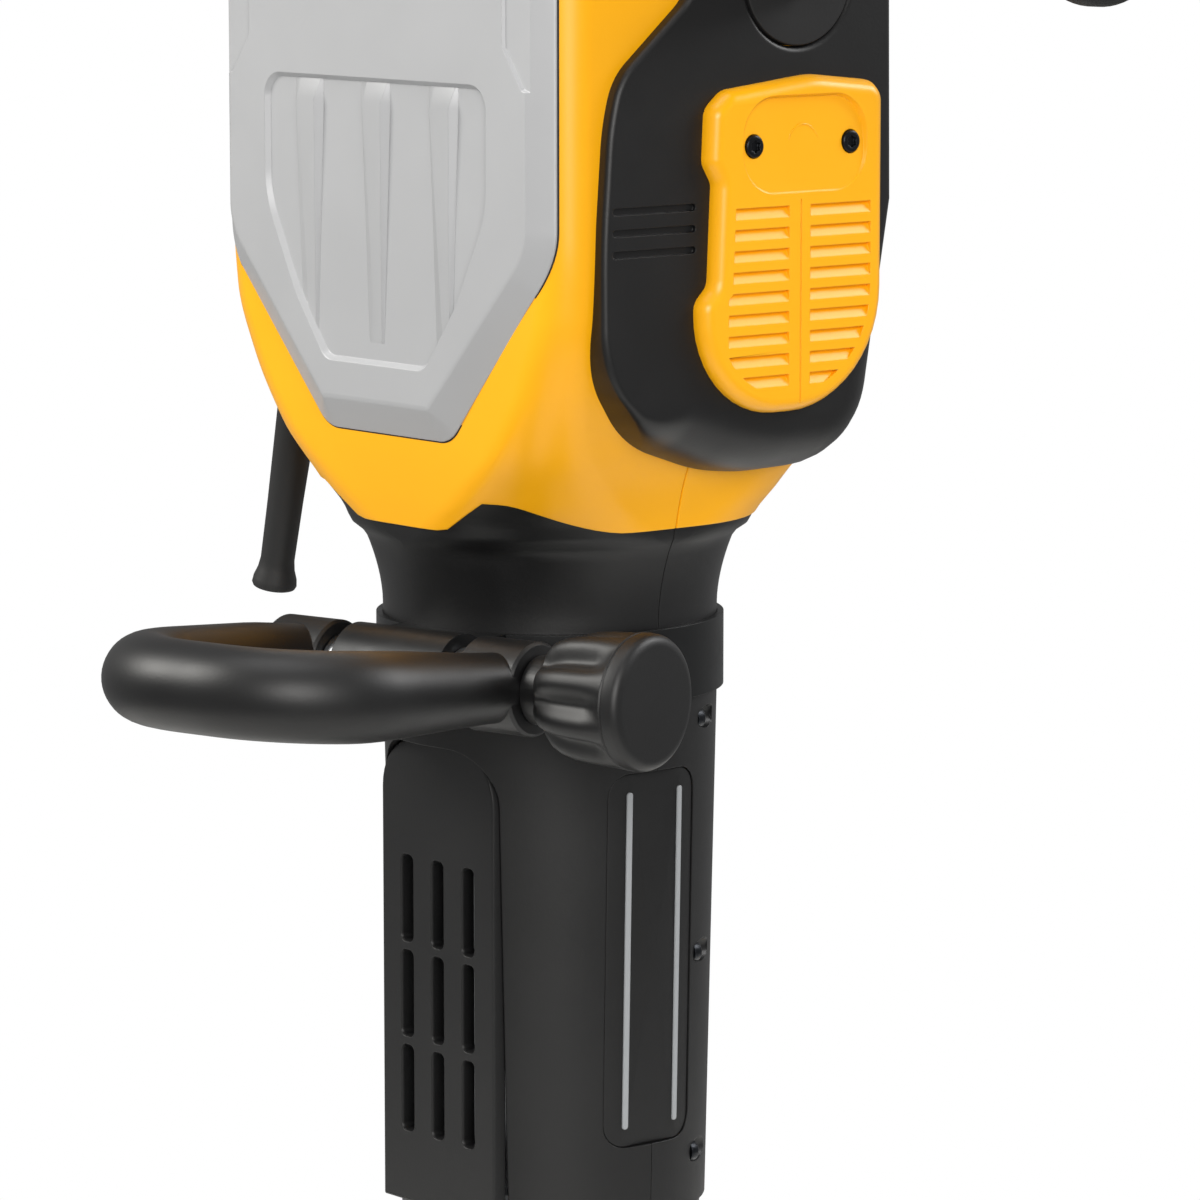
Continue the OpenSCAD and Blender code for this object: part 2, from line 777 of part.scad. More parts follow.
grip_y = arm_y - 10;
stem_r = 8;
hub_r = 16;
hub_half = 13;
module handle_arm() {
    color("#1d1e20") difference() {
        union() {
            bar_y(hub_r, arm_y - hub_half, arm_y + hub_half, pivot_x, arm_z);
            hull() {
                arm_disc(arm_r - 5, pivot_x + 2, arm_y, arm_z, 0);
                arm_disc(arm_r - 1, wing_x + 10, arm_y, arm_z + 2, 10);
            }
            hull() {
                arm_disc(arm_r - 1, wing_x + 10, arm_y, arm_z + 2, 10);
                arm_disc(arm_r, (wing_x + grip_start_x) / 2 + 6, arm_y - 5, (arm_z + grip_z) / 2 + 3, 32);
            }
            hull() {
                arm_disc(arm_r, (wing_x + grip_start_x) / 2 + 6, arm_y - 5, (arm_z + grip_z) / 2 + 3, 32);
                arm_disc(arm_r + 1, grip_start_x - 2, grip_y, grip_z, 0);
            }
            bar_x(arm_r + 1, grip_start_x - 3, grip_start_x, grip_y, grip_z);
            bar_x(stem_r, grip_start_x - 2, grip_start_x + grip_len - 20, grip_y, grip_z);
        }
        bar_y(pivot_pin_r + fit, arm_y - 20, arm_y + 20, pivot_x, arm_z);
    }
}

module grip(side) {
    end_x = grip_start_x + grip_len;
    color("#26272a") difference() {
        union() {
            bar_x(grip_r, grip_start_x, end_x - 14, grip_y, grip_z);
            translate([end_x - 22, grip_y, grip_z]) rotate([0, 90, 0])
                cylinder(r1 = grip_r, r2 = grip_guard_r, h = 10);
            bar_x(grip_guard_r, end_x - 12, end_x - 4, grip_y, grip_z);
            translate([end_x - 4, grip_y, grip_z]) rotate([0, 90, 0])
                cylinder(r1 = grip_guard_r, r2 = grip_guard_r - 5, h = 4);
        }
        bar_x(stem_r, grip_start_x - 1, end_x - 20, grip_y, grip_z);
        if (side < 0) {
            trigger_form(gap + 0.5, trigger_travel);
            button_form(gap, button_travel + gap);
        }
    }
    if (side < 0) color("#26272a") trigger_pin(trigger_pin_r, 11);
}

module right_handle_arm() {
    handle_arm();
}

module left_handle_arm() {
    mirror([1, 0, 0]) handle_arm();
}

module right_grip() {
    grip(1);
}

module left_grip() {
    mirror([1, 0, 0]) grip(-1);
}

module handle_pivot_pins() {
    color("#8d9094") both_sides() bar_y(pivot_pin_r, arm_y - pin_half + 0.5, arm_y + pin_half - 0.5, pivot_x, arm_z);
}

// Rubber boots round the arms where they leave the side panels
module handle_boots() {
    color("#151515") both_sides() difference() {
        ring_x(arm_hole_r, arm_r + 1, side_x, wing_x + 2, arm_y, arm_z);
        bar_y(pivot_pin_r + gap, arm_y - pin_half, arm_y + pin_half, pivot_x, arm_z);
    }
}

// Trigger on the underside of the grip, hinged at its inner end
trigger_len = 66;
trigger_h = 8;
trigger_x = grip_start_x + 12;
trigger_pin_x = trigger_x + 4;
trigger_pin_r = 1.6;
trigger_travel = 6;
trigger_w = 16;
trigger_low_z = grip_z - grip_r - 5;
module trigger_form(grow, lift) {
    translate([trigger_x - grow, grip_y - trigger_w / 2 - grow, trigger_low_z - grow])
        cube([trigger_len + 2 * grow, trigger_w + 2 * grow, trigger_h + 2 * grow + lift]);
}

module trigger_pin(r, half) {
    bar_y(r, grip_y - half, grip_y + half, trigger_pin_x, trigger_low_z + trigger_h / 2);
}

module trigger() {
    color("#c8201c") mirror([1, 0, 0]) difference() {
        trigger_form(0, 0);
        trigger_pin(trigger_pin_r + fit, 20);
    }
}

// Lock button in the front of the grip
button_travel = 3;
button_r = 5;
button_h = 9;
module button_form(grow, deeper) {
    translate([trigger_x + 20, grip_y - grip_r - 2, grip_z]) rotate([-90, 0, 0])
        cylinder(r = button_r + grow, h = button_h + deeper);
}

module lock_button() {
    color("#c8201c") mirror([1, 0, 0]) button_form(0, 0);
}

module switch_module() {
    color("#303236") translate([-40, 24, body_top_z - 52]) cube([44, 30, 40]);
}

module electronics_module() {
    color("#39463a") translate([-60, -60, body_top_z - 48]) cube([110, 50, 30]);
}

/* Cord guard */

guard_x = side_x;
guard_y = -40;
guard_top_z = 446;
guard_root_r = 11;
guard_root_h = 15;
guard_r = 7.6;
guard_thin_r = 6.6;
guard_mouth_r = 8.6;
module cord_gland() {
    translate([-guard_x, guard_y, guard_top_z]) rotate([0, guard_lean + 180, 0]) children();
}

// Space in the housing and panel for the guard's root
module guard_clearance() {
    translate([0, 0, -guard_root_h - 1]) cylinder(r = guard_root_r + gap, h = 34);
}

module cord_guard() {
    color("#1a1a1b") cord_gland() difference() {
        union() {
            translate([0, 0, -guard_root_h]) cylinder(r = guard_root_r, h = guard_root_h);
            cylinder(r1 = guard_r, r2 = guard_thin_r, h = guard_len - 10);
            translate([0, 0, guard_len - 10 - eps]) cylinder(r1 = guard_thin_r, r2 = guard_mouth_r, h = 8);
            translate([0, 0, guard_len - 2 - eps]) cylinder(r = guard_mouth_r, h = 2);
        }
        translate([0, 0, -guard_root_h - 1]) cylinder(r = cord_r, h = guard_len + 20);
        translate([0, 0, guard_len - 6]) cylinder(r1 = cord_r, r2 = cord_r + 2, h = 7);
    }
}

module cord_clamp() {
    color("#303236") translate([22 - side_x, guard_y, 478]) difference() {
        cube([24, 18, 9], center = true);
        cylinder(r = cord_r, h = 20, center = true);
    }
}

/* Tool holder and latch */

hex_r = socket_af / 2 / cos(30);
bolt_circle_r = 48;
taper_low_z = 70;
taper_high_z = 112;
flange_low_z = 134;
nose_bolt_r = 4;
nose_bolt_head_r = 6.5;
nose_bolt_head_h = 8;
module tool_holder() {
    ear_w = 36;
    color("#55575a") difference() {
        union() {
            rotate_extrude() polygon([
                [0, 0], [nose_r - 2, 0], [nose_r, 2], [nose_r, taper_low_z], [nose_r + 10, taper_high_z],
                [flange_r, flange_low_z], [flange_r, nose_h - gap], [0, nose_h - gap]
            ]);
            bar_x(12, -ear_w, ear_w, 0, latch_z);
        }
        translate([0, 0, -1]) cylinder(r = hex_r, h = socket_depth + 1, $fn = 6);
        translate([0, 0, -eps]) cylinder(r1 = hex_r + 2, r2 = hex_r - 1, h = 3);
        cylinder(r = striker_tip_r + 0.5, h = nose_h + 1);
        bar_x(5, -ear_w - 1, -hex_r - 6, 0, latch_z);
        bar_x(5, hex_r + 6, ear_w + 1, 0, latch_z);
        nose_bolt_places() translate([0, 0, -30]) cylinder(r = nose_bolt_r + gap, h = 60);
        nose_bolt_places() translate([0, 0, -40]) cylinder(r = 8, h = 30);
    }
}

module nose_bolt_places() {
    for (k = [0:3]) {
        rotate([0, 0, 45 + 90 * k]) translate([bolt_circle_r, 0, nose_h]) children();
    }
}

module nose_bolts() {
    color("#8d9094") nose_bolt_places() translate([0, 0, -18]) {
        difference() {
            cylinder(r = nose_bolt_head_r, h = nose_bolt_head_h);
            translate([0, 0, -eps]) cylinder(r = 3, h = 4, $fn = 6);
        }
        translate([0, 0, nose_bolt_head_h - eps]) cylinder(r = nose_bolt_r, h = 26);
    }
}

// Swing latch that holds the tool's collar: two arms and a yoke with an open slot
latch_x = 37;
latch_t = 7;
latch_arm_w = 22;
latch_eye_r = 13;
module tool_latch() {
    yoke_t = 9;
    slot_w = 35;
    color("#3c3e41") difference() {
        union() {
            both_sides() {
                bar_x(latch_eye_r, latch_x, latch_x + latch_t, 0, latch_z);
                translate([latch_x, -latch_arm_w / 2, -latch_drop]) cube([latch_t, latch_arm_w, latch_z + latch_drop]);
            }
            translate([-latch_x - latch_t, -24, -latch_drop]) cube([2 * (latch_x + latch_t), 46, yoke_t]);
        }
        translate([-slot_w / 2, 0, -latch_drop - 1]) cube([slot_w, 40, yoke_t + 2]);
        translate([0, 0, -latch_drop - 1]) cylinder(r = slot_w / 2, h = yoke_t + 2);
        both_sides() bar_x(5.25 + fit, latch_x - 1, latch_x + latch_t + 1, 0, latch_z);
    }
}

module latch_bolts() {
    color("#8d9094") both_sides() {
        bar_x(5, hex_r + 7, latch_x, 0, latch_z);
        bar_x(5.25, latch_x - gap, latch_x + latch_t + gap, 0, latch_z);
        bar_x(9, latch_x + latch_t + gap, latch_x + latch_t + gap + 4, 0, latch_z);
    }
}

/* Hammer mechanism */

module cylinder_housing() {
    inner_r = cylinder_r + cylinder_wall + 0.02;
    color("#8f9295") difference() {
        union() {
            translate([0, 0, nose_h]) cylinder(r = inner_r + 6, h = cylinder_top_z - nose_h - 1);
            translate([0, 0, nose_h]) cylinder(r = barrel_low_r - barrel_wall - 0.5, h = 10);
            translate([0, 0, cylinder_top_z - 10]) cylinder(r = 50, h = 10);
        }
        translate([0, 0, nose_h - 1]) cylinder(r = inner_r, h = reach);
        nose_bolt_places() translate([0, 0, -1]) cylinder(r = 4.02, h = 18);
        translate([-reach, -reach - vent_flat_y + barrel_wall + gap, nose_h - 1]) cube([2 * reach, reach, reach]);
    }
}

module hammer_cylinder() {
    color("#a9abae") difference() {
        translate([0, 0, guide_top_z]) cylinder(r = cylinder_r + cylinder_wall, h = cylinder_top_z - guide_top_z);
        translate([0, 0, guide_top_z - 1]) cylinder(r = cylinder_r, h = reach);
        for (k = [0:5]) {
            rotate([0, 0, 60 * k]) bar_x(2, cylinder_r - 2, cylinder_r + 10, 0, 318);
        }
    }
}

module striker_guide() {
    color("#6a6c70") difference() {
        translate([0, 0, nose_h]) cylinder(r = cylinder_r + cylinder_wall, h = guide_top_z - nose_h);
        translate([0, 0, nose_h - 1]) cylinder(r = striker_tip_r + fit, h = 200);
        translate([0, 0, striker_step_z - 0.5]) cylinder(r = striker_head_r + fit, h = 200);
    }
}

module striker() {
    tip_low_z = 136;
    color("#9b9da1") {
        translate([0, 0, tip_low_z]) cylinder(r = striker_tip_r, h = striker_step_z - tip_low_z + 1);
        translate([0, 0, striker_step_z]) cylinder(r = striker_head_r, h = striker_top_z - striker_step_z);
    }
}

module ram() {
    color("#9b9da1") difference() {
        translate([0, 0, ram_low_z]) cylinder(r = piston_r, h = ram_len);
        translate([0, 0, ram_low_z + ram_len / 2]) rotate_extrude() translate([piston_r - 1, -2]) square([4, 4]);
    }
}

wrist_r = 7;
groove_low = -15;
groove_high = 14;
module piston() {
    color("#b4b6b9") difference() {
        translate([0, 0, wrist_z - piston_low]) cylinder(r = piston_r, h = piston_low + piston_high);
        translate([-9, -16, wrist_z - 14]) cube([18, 32, 60]);
        bar_x(wrist_r + fit, -40, 40, 0, wrist_z);
        for (dz = [groove_low, groove_high]) {
            translate([0, 0, wrist_z + dz]) rotate_extrude() translate([piston_r - 2, -1.5]) square([4, 3]);
        }
    }
}

module piston_seals() {
    color("#151515") for (dz = [groove_low, groove_high]) {
        translate([0, 0, wrist_z + dz]) rotate_extrude() translate([piston_r - 2, -1.5]) square([2, 3]);
    }
}

module wrist_pin() {
    color("#c9cbce") bar_x(wrist_r, 5 - cylinder_r, cylinder_r - 5, 0, wrist_z);
}

module connecting_rod() {
    rod_half = 7;
    color("#85878b") difference() {
        union() {
            bar_x(12.5, -rod_half, rod_half, 0, wrist_z);
            bar_x(20, -rod_half, rod_half, 0, wrist_z + rod_len);
            translate([-rod_half + 1, -8, wrist_z]) cube([2 * rod_half - 2, 16, rod_len]);
        }
        bar_x(wrist_r + fit, -20, 20, 0, wrist_z);
        bar_x(12.2, -20, 20, 0, wrist_z + rod_len);
    }
}

// Two webs with counterweights; the pin is left open across the rod
main_r = 12;
module crankshaft() {
    pin_z = crank_z - crank_throw;
    web_in = 10;
    web_out = 20;
    color("#85878b") difference() {
        union() {
            for (sx = [-1, 1]) {
                stand_x(sx > 0 ? web_in : -web_out, web_out - web_in) translate([0, crank_z]) {
                    circle(24);
                    translate([-17, -crank_throw]) square([34, crank_throw]);
                    translate([0, -crank_throw]) circle(15);
                    intersection() {
                        circle(44);
                        translate([-40, 8]) square([80, 40]);
                    }
                }
            }
            bar_x(main_r, 7.4, web_in + 1, 0, pin_z);
            bar_x(main_r, -web_in - 1, -7.4, 0, pin_z);
            bar_x(main_r, web_out - 1, 70, 0, crank_z);
            bar_x(main_r, -44, -web_out + 1, 0, crank_z);
        }
        bar_x(3, -60, -30, 0, crank_z);
    }
}

slow_x = 54;
slow_face = 14;
fast_x = 71;
fast_face = 9;
module crank_gear() {
    color("#6a6c70") translate([0, 0, crank_z]) difference() {
        stand_x(slow_x, slow_face) rotate(90) gear_outline(crank_gear_teeth, slow_module, 0.25);
        bar_x(main_r, slow_x - 1, slow_x + slow_face + 1, 0, 0);
        for (k = [0:5]) {
            rotate([60 * k, 0, 0]) bar_x(8, slow_x - 1, slow_x + slow_face + 1, 0, 31);
        }
    }
}

crank_bearing_r = 23.5;
module crank_bearings() {
    color("#c9cbce") for (x0 = [24, -38]) {
        ring_x(crank_bearing_r, main_r + fit, x0, x0 + 14, 0, crank_z);
    }
}

module intermediate_shaft() {
    color("#6a6c70") translate([0, 0, middle_z]) {
        bar_x(8, 41, slow_x + 1, 0, 0);
        stand_x(slow_x, slow_face) rotate(-90 + 180 / slow_pinion_teeth)
            gear_outline(slow_pinion_teeth, slow_module, 0.25);
        bar_x(9, slow_x + slow_face - 1, fast_x + 1, 0, 0);
        stand_x(fast_x, fast_face) rotate(90) gear_outline(fast_gear_teeth, fast_module, 0.2);
        bar_x(7, fast_x + fast_face - 1, 90, 0, 0);
    }
}

slow_bearing_r = 15;
fast_bearing_r = 14;
module intermediate_bearings() {
    color("#c9cbce") {
        ring_x(slow_bearing_r, 8 + fit, 41, 51, 0, middle_z);
        ring_x(fast_bearing_r, 7 + fit, 83, 90, 0, middle_z);
    }
}

// Cast case that carries the bearings and stands on the cylinder housing
module gear_case() {
    wall_top_z = motor_z - stator_r - 7;
    plate_low_z = middle_z - 18;
    color("#9a9da0") difference() {
        union() {
            for (x0 = [-40, 22]) {
                translate([x0, -50, cylinder_top_z]) cube([18, 100, wall_top_z - cylinder_top_z]);
            }
            translate([-52, -50, cylinder_top_z]) cube([104, 100, 8]);
            translate([39, -50, wall_top_z - 14]) cube([13, 100, middle_z + 18 - wall_top_z + 14]);
            translate([39, -22, middle_z + 17]) cube([13, 44, motor_z - middle_z + 1]);
            translate([51, 36, plate_low_z + 4]) cube([40, 6, 28]);
            translate([82, -20, plate_low_z]) cube([9, 62, 36]);
        }
        bar_x(crank_bearing_r, -42, 42, 0, crank_z);
        bar_x(slow_bearing_r, 38, 54, 0, middle_z);
        bar_x(fast_bearing_r, 81, 93, 0, middle_z);
        bar_x(motor_bearing_r, 38, 54, 0, motor_z);
        translate([0, 0, cylinder_top_z - 5]) cylinder(r = cylinder_r + 1, h = 20);
    }
}

/* Motor */

stator_x0 = -46;
module motor_stator() {
    color("#5d4a3a") difference() {
        bar_x(stator_r, stator_x0, stator_x0 + stator_len, 0, motor_z);
        bar_x(28.6, stator_x0 - 1, stator_x0 + stator_len + 1, 0, motor_z);
        for (side = [0, 1]) {
            mirror([0, side, 0]) translate([stator_x0 - 1, 43, motor_z - 30]) cube([stator_len + 2, 16, 60]);
        }
    }
}

module armature() {
    color("#9b9da1") {
        bar_x(28, stator_x0 + 4, stator_x0 + stator_len - 4, 0, motor_z);
        bar_x(6, -83, fast_x - 1, 0, motor_z);
        bar_x(4, fast_x - 2, fast_x + fast_face + 1, 0, motor_z);
    }
}

commutator_r = 19;
module commutator() {
    bars = 24;
    color("#b26a3c") difference() {
        ring_x(commutator_r, 6, -74, -52, 0, motor_z);
        for (k = [0:bars - 1]) {
            translate([0, 0, motor_z]) rotate([360 * k / bars, 0, 0]) translate([-75, -0.4, 18]) cube([24, 0.8, 2]);
        }
    }
}

module motor_pinion() {
    color("#6a6c70") translate([0, 0, motor_z]) difference() {
        stand_x(fast_x + 1.05, fast_face - 0.5) rotate(-90 + 180 / motor_pinion_teeth)
            gear_outline(motor_pinion_teeth, fast_module, 0.2);
        bar_x(4, fast_x, fast_x + fast_face + 2, 0, 0);
    }
}

module cooling_fan() {
    blades = 12;
    color("#303236") difference() {
        union() {
            bar_x(10, 27, 38, 0, motor_z);
            bar_x(42, 27, 29, 0, motor_z);
            for (k = [0:blades - 1]) {
                translate([28, 0, motor_z]) rotate([360 * k / blades, 0, 0]) translate([0, -1, 8]) cube([9.5, 2, 33]);
            }
        }
        bar_x(6, 26, 39, 0, motor_z);
    }
}

motor_bearing_r = 13;
module armature_bearings() {
    color("#c9cbce") {
        ring_x(motor_bearing_r, 6 + fit, 41, 51, 0, motor_z);
        ring_x(motor_bearing_r, 6 + fit, -83, -76, 0, motor_z);
    }
}

brush_x = -63;
brush_t = 8;
brush_w = 12;
brush_len = 24;
module brush_holders() {
    color("#303236") {
        difference() {
            for (sy = [-1, 1]) {
                translate([brush_x, sy * 39, motor_z]) cube([16, 30, 18], center = true);
            }
            translate([brush_x, 0, motor_z]) cube([brush_t + 0.4, 120, brush_w + 0.4], center = true);
        }
        difference() {
            translate([-83, -58, motor_z - 11]) cube([7, 116, 22]);
            bar_x(motor_bearing_r, -86, -74, 0, motor_z);
        }
        for (sy = [-1, 1]) {
            translate([-77, sy * 50 - 4, motor_z - 9]) cube([6.1, 8, 18]);
        }
    }
}

module carbon_brushes() {
    color("#151515") for (sy = [-1, 1]) {
        translate([brush_x, sy * (commutator_r + gap + brush_len / 2), motor_z])
            cube([brush_t, brush_len, brush_w], center = true);
    }
}

front_housing();
rear_housing();
housing_screws();
front_cover_plate();
top_cap();
top_cap_screws();
right_side_panel();
left_side_panel();
right_vent_cover();
left_vent_cover();
vent_cover_screws();
barrel_front_shell();
barrel_rear_shell();
barrel_screws();
label_plates();
clamp_strap();
clamp_block();
clamp_bolt();
side_handle();
clamp_knob();
right_handle_arm();
left_handle_arm();
right_grip();
left_grip();
handle_pivot_pins();
handle_boots();
trigger();
lock_button();
switch_module();
electronics_module();
cord_guard();
cord_clamp();
tool_holder();
nose_bolts();
tool_latch();
latch_bolts();
gear_case();
cylinder_housing();
hammer_cylinder();
striker_guide();
striker();
ram();
piston();
piston_seals();
wrist_pin();
connecting_rod();
crankshaft();
crank_gear();
crank_bearings();
intermediate_shaft();
intermediate_bearings();
motor_stator();
armature();
commutator();
motor_pinion();
cooling_fan();
armature_bearings();
brush_holders();
carbon_brushes();
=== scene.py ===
import math

import bmesh
import bpy
import numpy as np
from mathutils import Matrix, Vector
from mathutils.geometry import tessellate_polygon


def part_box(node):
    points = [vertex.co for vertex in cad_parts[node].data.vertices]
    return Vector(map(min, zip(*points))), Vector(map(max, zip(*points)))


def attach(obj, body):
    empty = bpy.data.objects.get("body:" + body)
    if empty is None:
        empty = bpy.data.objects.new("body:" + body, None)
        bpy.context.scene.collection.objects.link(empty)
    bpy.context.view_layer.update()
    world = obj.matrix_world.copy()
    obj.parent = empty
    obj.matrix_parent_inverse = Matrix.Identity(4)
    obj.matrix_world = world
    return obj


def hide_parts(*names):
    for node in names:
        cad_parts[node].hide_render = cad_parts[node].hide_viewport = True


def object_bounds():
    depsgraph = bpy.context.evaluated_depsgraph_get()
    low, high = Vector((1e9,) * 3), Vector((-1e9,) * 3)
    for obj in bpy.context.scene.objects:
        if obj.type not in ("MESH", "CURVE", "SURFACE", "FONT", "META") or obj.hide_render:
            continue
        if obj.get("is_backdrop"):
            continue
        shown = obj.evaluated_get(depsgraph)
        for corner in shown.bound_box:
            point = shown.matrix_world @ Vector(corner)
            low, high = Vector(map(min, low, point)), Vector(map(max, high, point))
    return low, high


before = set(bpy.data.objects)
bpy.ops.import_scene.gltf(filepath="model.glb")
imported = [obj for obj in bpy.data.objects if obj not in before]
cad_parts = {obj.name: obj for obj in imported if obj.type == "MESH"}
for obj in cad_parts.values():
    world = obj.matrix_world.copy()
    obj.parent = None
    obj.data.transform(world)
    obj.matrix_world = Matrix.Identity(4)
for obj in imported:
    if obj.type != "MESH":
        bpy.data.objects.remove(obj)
CAD_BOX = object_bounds()

bl_info = {
    "name": "Demolition Hammer",
    "version": (1, 0, 0),
    "blender": (4, 5, 0),
    "location": "View3D > Sidebar > Hammer",
    "description": "Builds the moulded shells, handles, fasteners and finishes of a demolition hammer",
    "category": "Add Mesh",
}

MM = 0.001  # one millimetre in scene units


def lin(code):
    """Linear colour of an sRGB hex value."""
    parts = [int(code[i:i + 2], 16) / 255 for i in (1, 3, 5)]
    return [c / 12.92 if c <= 0.04045 else ((c + 0.055) / 1.055) ** 2.4 for c in parts] + [1.0]


def span(node):
    """Lowest and highest corner of a CAD node, in millimetres."""
    low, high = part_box(node)
    return np.array(low) / MM, np.array(high) / MM


def middle(node):
    """Middle of a CAD node's box, in millimetres."""
    low, high = span(node)
    return (low + high) / 2


def frontal(x, z, y):
    """Places an outline drawn on the front: its u along X, v along Z and its height at y."""
    return x, y, z


def length_prop(name, description, default):
    return bpy.props.FloatProperty(name=name, description=description, default=default, min=0, max=1000)


def angle_prop(name, description, degrees):
    return bpy.props.FloatProperty(
        name=name, description=description, default=math.radians(degrees), subtype="ANGLE")


def count_prop(name, description, default):
    return bpy.props.IntProperty(name=name, description=description, default=default, min=1, max=30)


def colour_prop(name, description, code):
    return bpy.props.FloatVectorProperty(
        name=name, description=description, default=lin(code), size=4, subtype="COLOR", min=0, max=1)


# ---------------------------------------------------------------- sizes and colours

BODY_LOW, BODY_HIGH = span("rear_housing")
PLATE_LOW, PLATE_HIGH = span("front_cover_plate")
COVER_LOW, COVER_HIGH = span("right_vent_cover")
WING_HIGH = span("right_side_panel")[1]
BARREL_LOW, BARREL_HIGH = span("barrel_rear_shell")
CAP_LOW, CAP_HIGH = span("top_cap")
GRIP_LOW, GRIP_HIGH = span("right_grip")
STRAP_LOW, STRAP_HIGH = span("clamp_strap")
GUARD_LOW, GUARD_HIGH = span("cord_guard")
BOOT_LOW, BOOT_HIGH = span("handle_boots")
BOOT_Y, BOOT_Z = middle("handle_boots")[1:]
BOOT_R = (BOOT_HIGH[2] - BOOT_LOW[2]) / 2
HEAD_ROOM_R = 4.35  # radius of the sockets that take a screw's head


class HousingSizes(bpy.types.PropertyGroup):
    """Sizes of the motor housing, in millimetres."""
    corner_r: length_prop("Corner radius", "Radius of the housing's upright corners", 14)
    wall: length_prop("Wall", "Wall of the housing shells", 3.2)
    seam: length_prop("Seam", "Gap between the front and rear shells", 0.35)
    edge_r: length_prop("Edge radius", "Rounding of the shells' edges", 0.5)
    notch_h: length_prop("Notch height", "Rise of the lower edge at the front corners", 12)
    plate_bevel: length_prop("Plate border", "Width of the front plate's sloping border", 9)
    recess_depth: length_prop("Recess depth", "Depth of the field in the front plate", 1.9)
    rib_h: length_prop("Rib height", "Height of the ribs in the front plate's field", 3.4)
    rib_pitch: length_prop("Rib pitch", "Spacing of the front plate's ribs", 39)


class PanelSizes(bpy.types.PropertyGroup):
    """Sizes of the side panels and the vent covers, in millimetres."""
    fillet: length_prop("Fillet", "Rounding of a side panel's upper edge", 2.4)
    low_fillet: length_prop("Lower roll", "Width of a side panel's rolled lower edge", 21)
    louvre_pitch: length_prop("Louvre pitch", "Spacing of the louvres", 7.5)
    louvre_h: length_prop("Louvre height", "Height of a louvre's opening", 3.4)
    pocket_depth: length_prop("Pocket depth", "Depth of the screw pocket in a vent cover", 2.2)
    louvres: count_prop("Louvres", "Louvres in a column", 9)
    grooves: count_prop("Grooves", "Grooves in a side panel", 3)


class BarrelSizes(bpy.types.PropertyGroup):
    """Sizes of the barrel, in millimetres."""
    wall: length_prop("Wall", "Wall of the barrel shells", 3.6)
    flat_y: length_prop("Vent panel distance", "Distance of the flat vent panel from the axis", 54)
    slot_w: length_prop("Slot width", "Width of a vent slot", 7.6)
    slot_h: length_prop("Slot height", "Height of a vent slot", 33)
    label_w: length_prop("Label width", "Width of a label field", 42)
    label_h: length_prop("Label height", "Height of a label field", 140)


class HandleSizes(bpy.types.PropertyGroup):
    """Sizes of the handles, in millimetres."""
    loop_r: length_prop("Loop radius", "Radius of the loop handle's tube", 16)
    loop_thin_r: length_prop("Thin end radius", "Radius of the loop's tube beside the knob", 12.5)
    loop_tilt: angle_prop("Loop tilt", "Upward tilt of the loop", 5)
    side_angle: angle_prop("Side angle", "Turn of the clamp about the barrel", 14)
    knob_r: length_prop("Knob radius", "Radius of the clamp knob", 25)
    flutes: count_prop("Flutes", "Flutes round the knob", 8)
    flute_depth: length_prop("Flute depth", "Depth of the knob's flutes", 4.6)
    grip_r: length_prop("Grip radius", "Radius of a main grip", 19)
    grip_ribs: count_prop("Grip ribs", "Ribs on a main grip", 11)
    rib_pitch: length_prop("Rib pitch", "Spacing of the grip's ribs", 7)


class FinishColours(bpy.types.PropertyGroup):
    """Colours of the finishes."""
    yellow: colour_prop("Yellow", "Moulded yellow nylon", "#FFB206")
    black: colour_prop("Black", "Moulded black nylon", "#0A0A0B")
    silver: colour_prop("Silver", "Painted silver cover", "#AFB0B2")
    rubber: colour_prop("Rubber", "Grip and boot rubber", "#0F0F10")
    red: colour_prop("Red", "Switch levers", "#B5160F")
    rail: colour_prop("Rail", "Light strips beside the labels", "#9B9EA1")


def sizes(name):
    return getattr(bpy.context.scene, "hammer_" + name)


# ---------------------------------------------------------------- mesh helpers

def new_object(name, mesh):
    piece = bpy.data.objects.new(name, mesh)
    bpy.context.scene.collection.objects.link(piece)
    return piece


def solid(name, points, faces, closed=True):
    """Mesh object from points in millimetres, its doubles merged and its faces turned outwards."""
    mesh = bpy.data.meshes.new(name)
    mesh.from_pydata([[c * MM for c in p] for p in points], [], faces)
    work = bmesh.new()
    work.from_mesh(mesh)
    bmesh.ops.remove_doubles(work, verts=work.verts, dist=2e-6)
    bmesh.ops.dissolve_degenerate(work, edges=work.edges, dist=1e-6)
    if closed:
        bmesh.ops.recalc_face_normals(work, faces=work.faces)
    work.to_mesh(mesh)
    work.free()
    return new_object(name, mesh)


def smooth(piece, angle=32, weighted=True):
    """Smooth shading that stops at edges sharper than the angle."""
    piece.data.shade_smooth()
    piece.data.set_sharp_from_angle(angle=math.radians(angle))
    if weighted:
        piece.modifiers.new("Flat faces", "WEIGHTED_NORMAL").keep_sharp = True
    return piece


def baked(piece):
    """Turns a piece's modifiers into plain mesh."""
    graph = bpy.context.evaluated_depsgraph_get()
    mesh = bpy.data.meshes.new_from_object(piece.evaluated_get(graph))
    piece.modifiers.clear()
    piece.data = mesh
    return piece


def cut(piece, *cutters, operation="DIFFERENCE"):
    """Cuts cutters out of a piece, or joins them to it, and removes them."""
    for cutter in cutters:
        change = piece.modifiers.new("Cut", "BOOLEAN")
        change.operation = operation
        change.solver = "EXACT"
        change.object = cutter
    baked(piece)
    for cutter in cutters:
        bpy.data.objects.remove(cutter)
    return piece


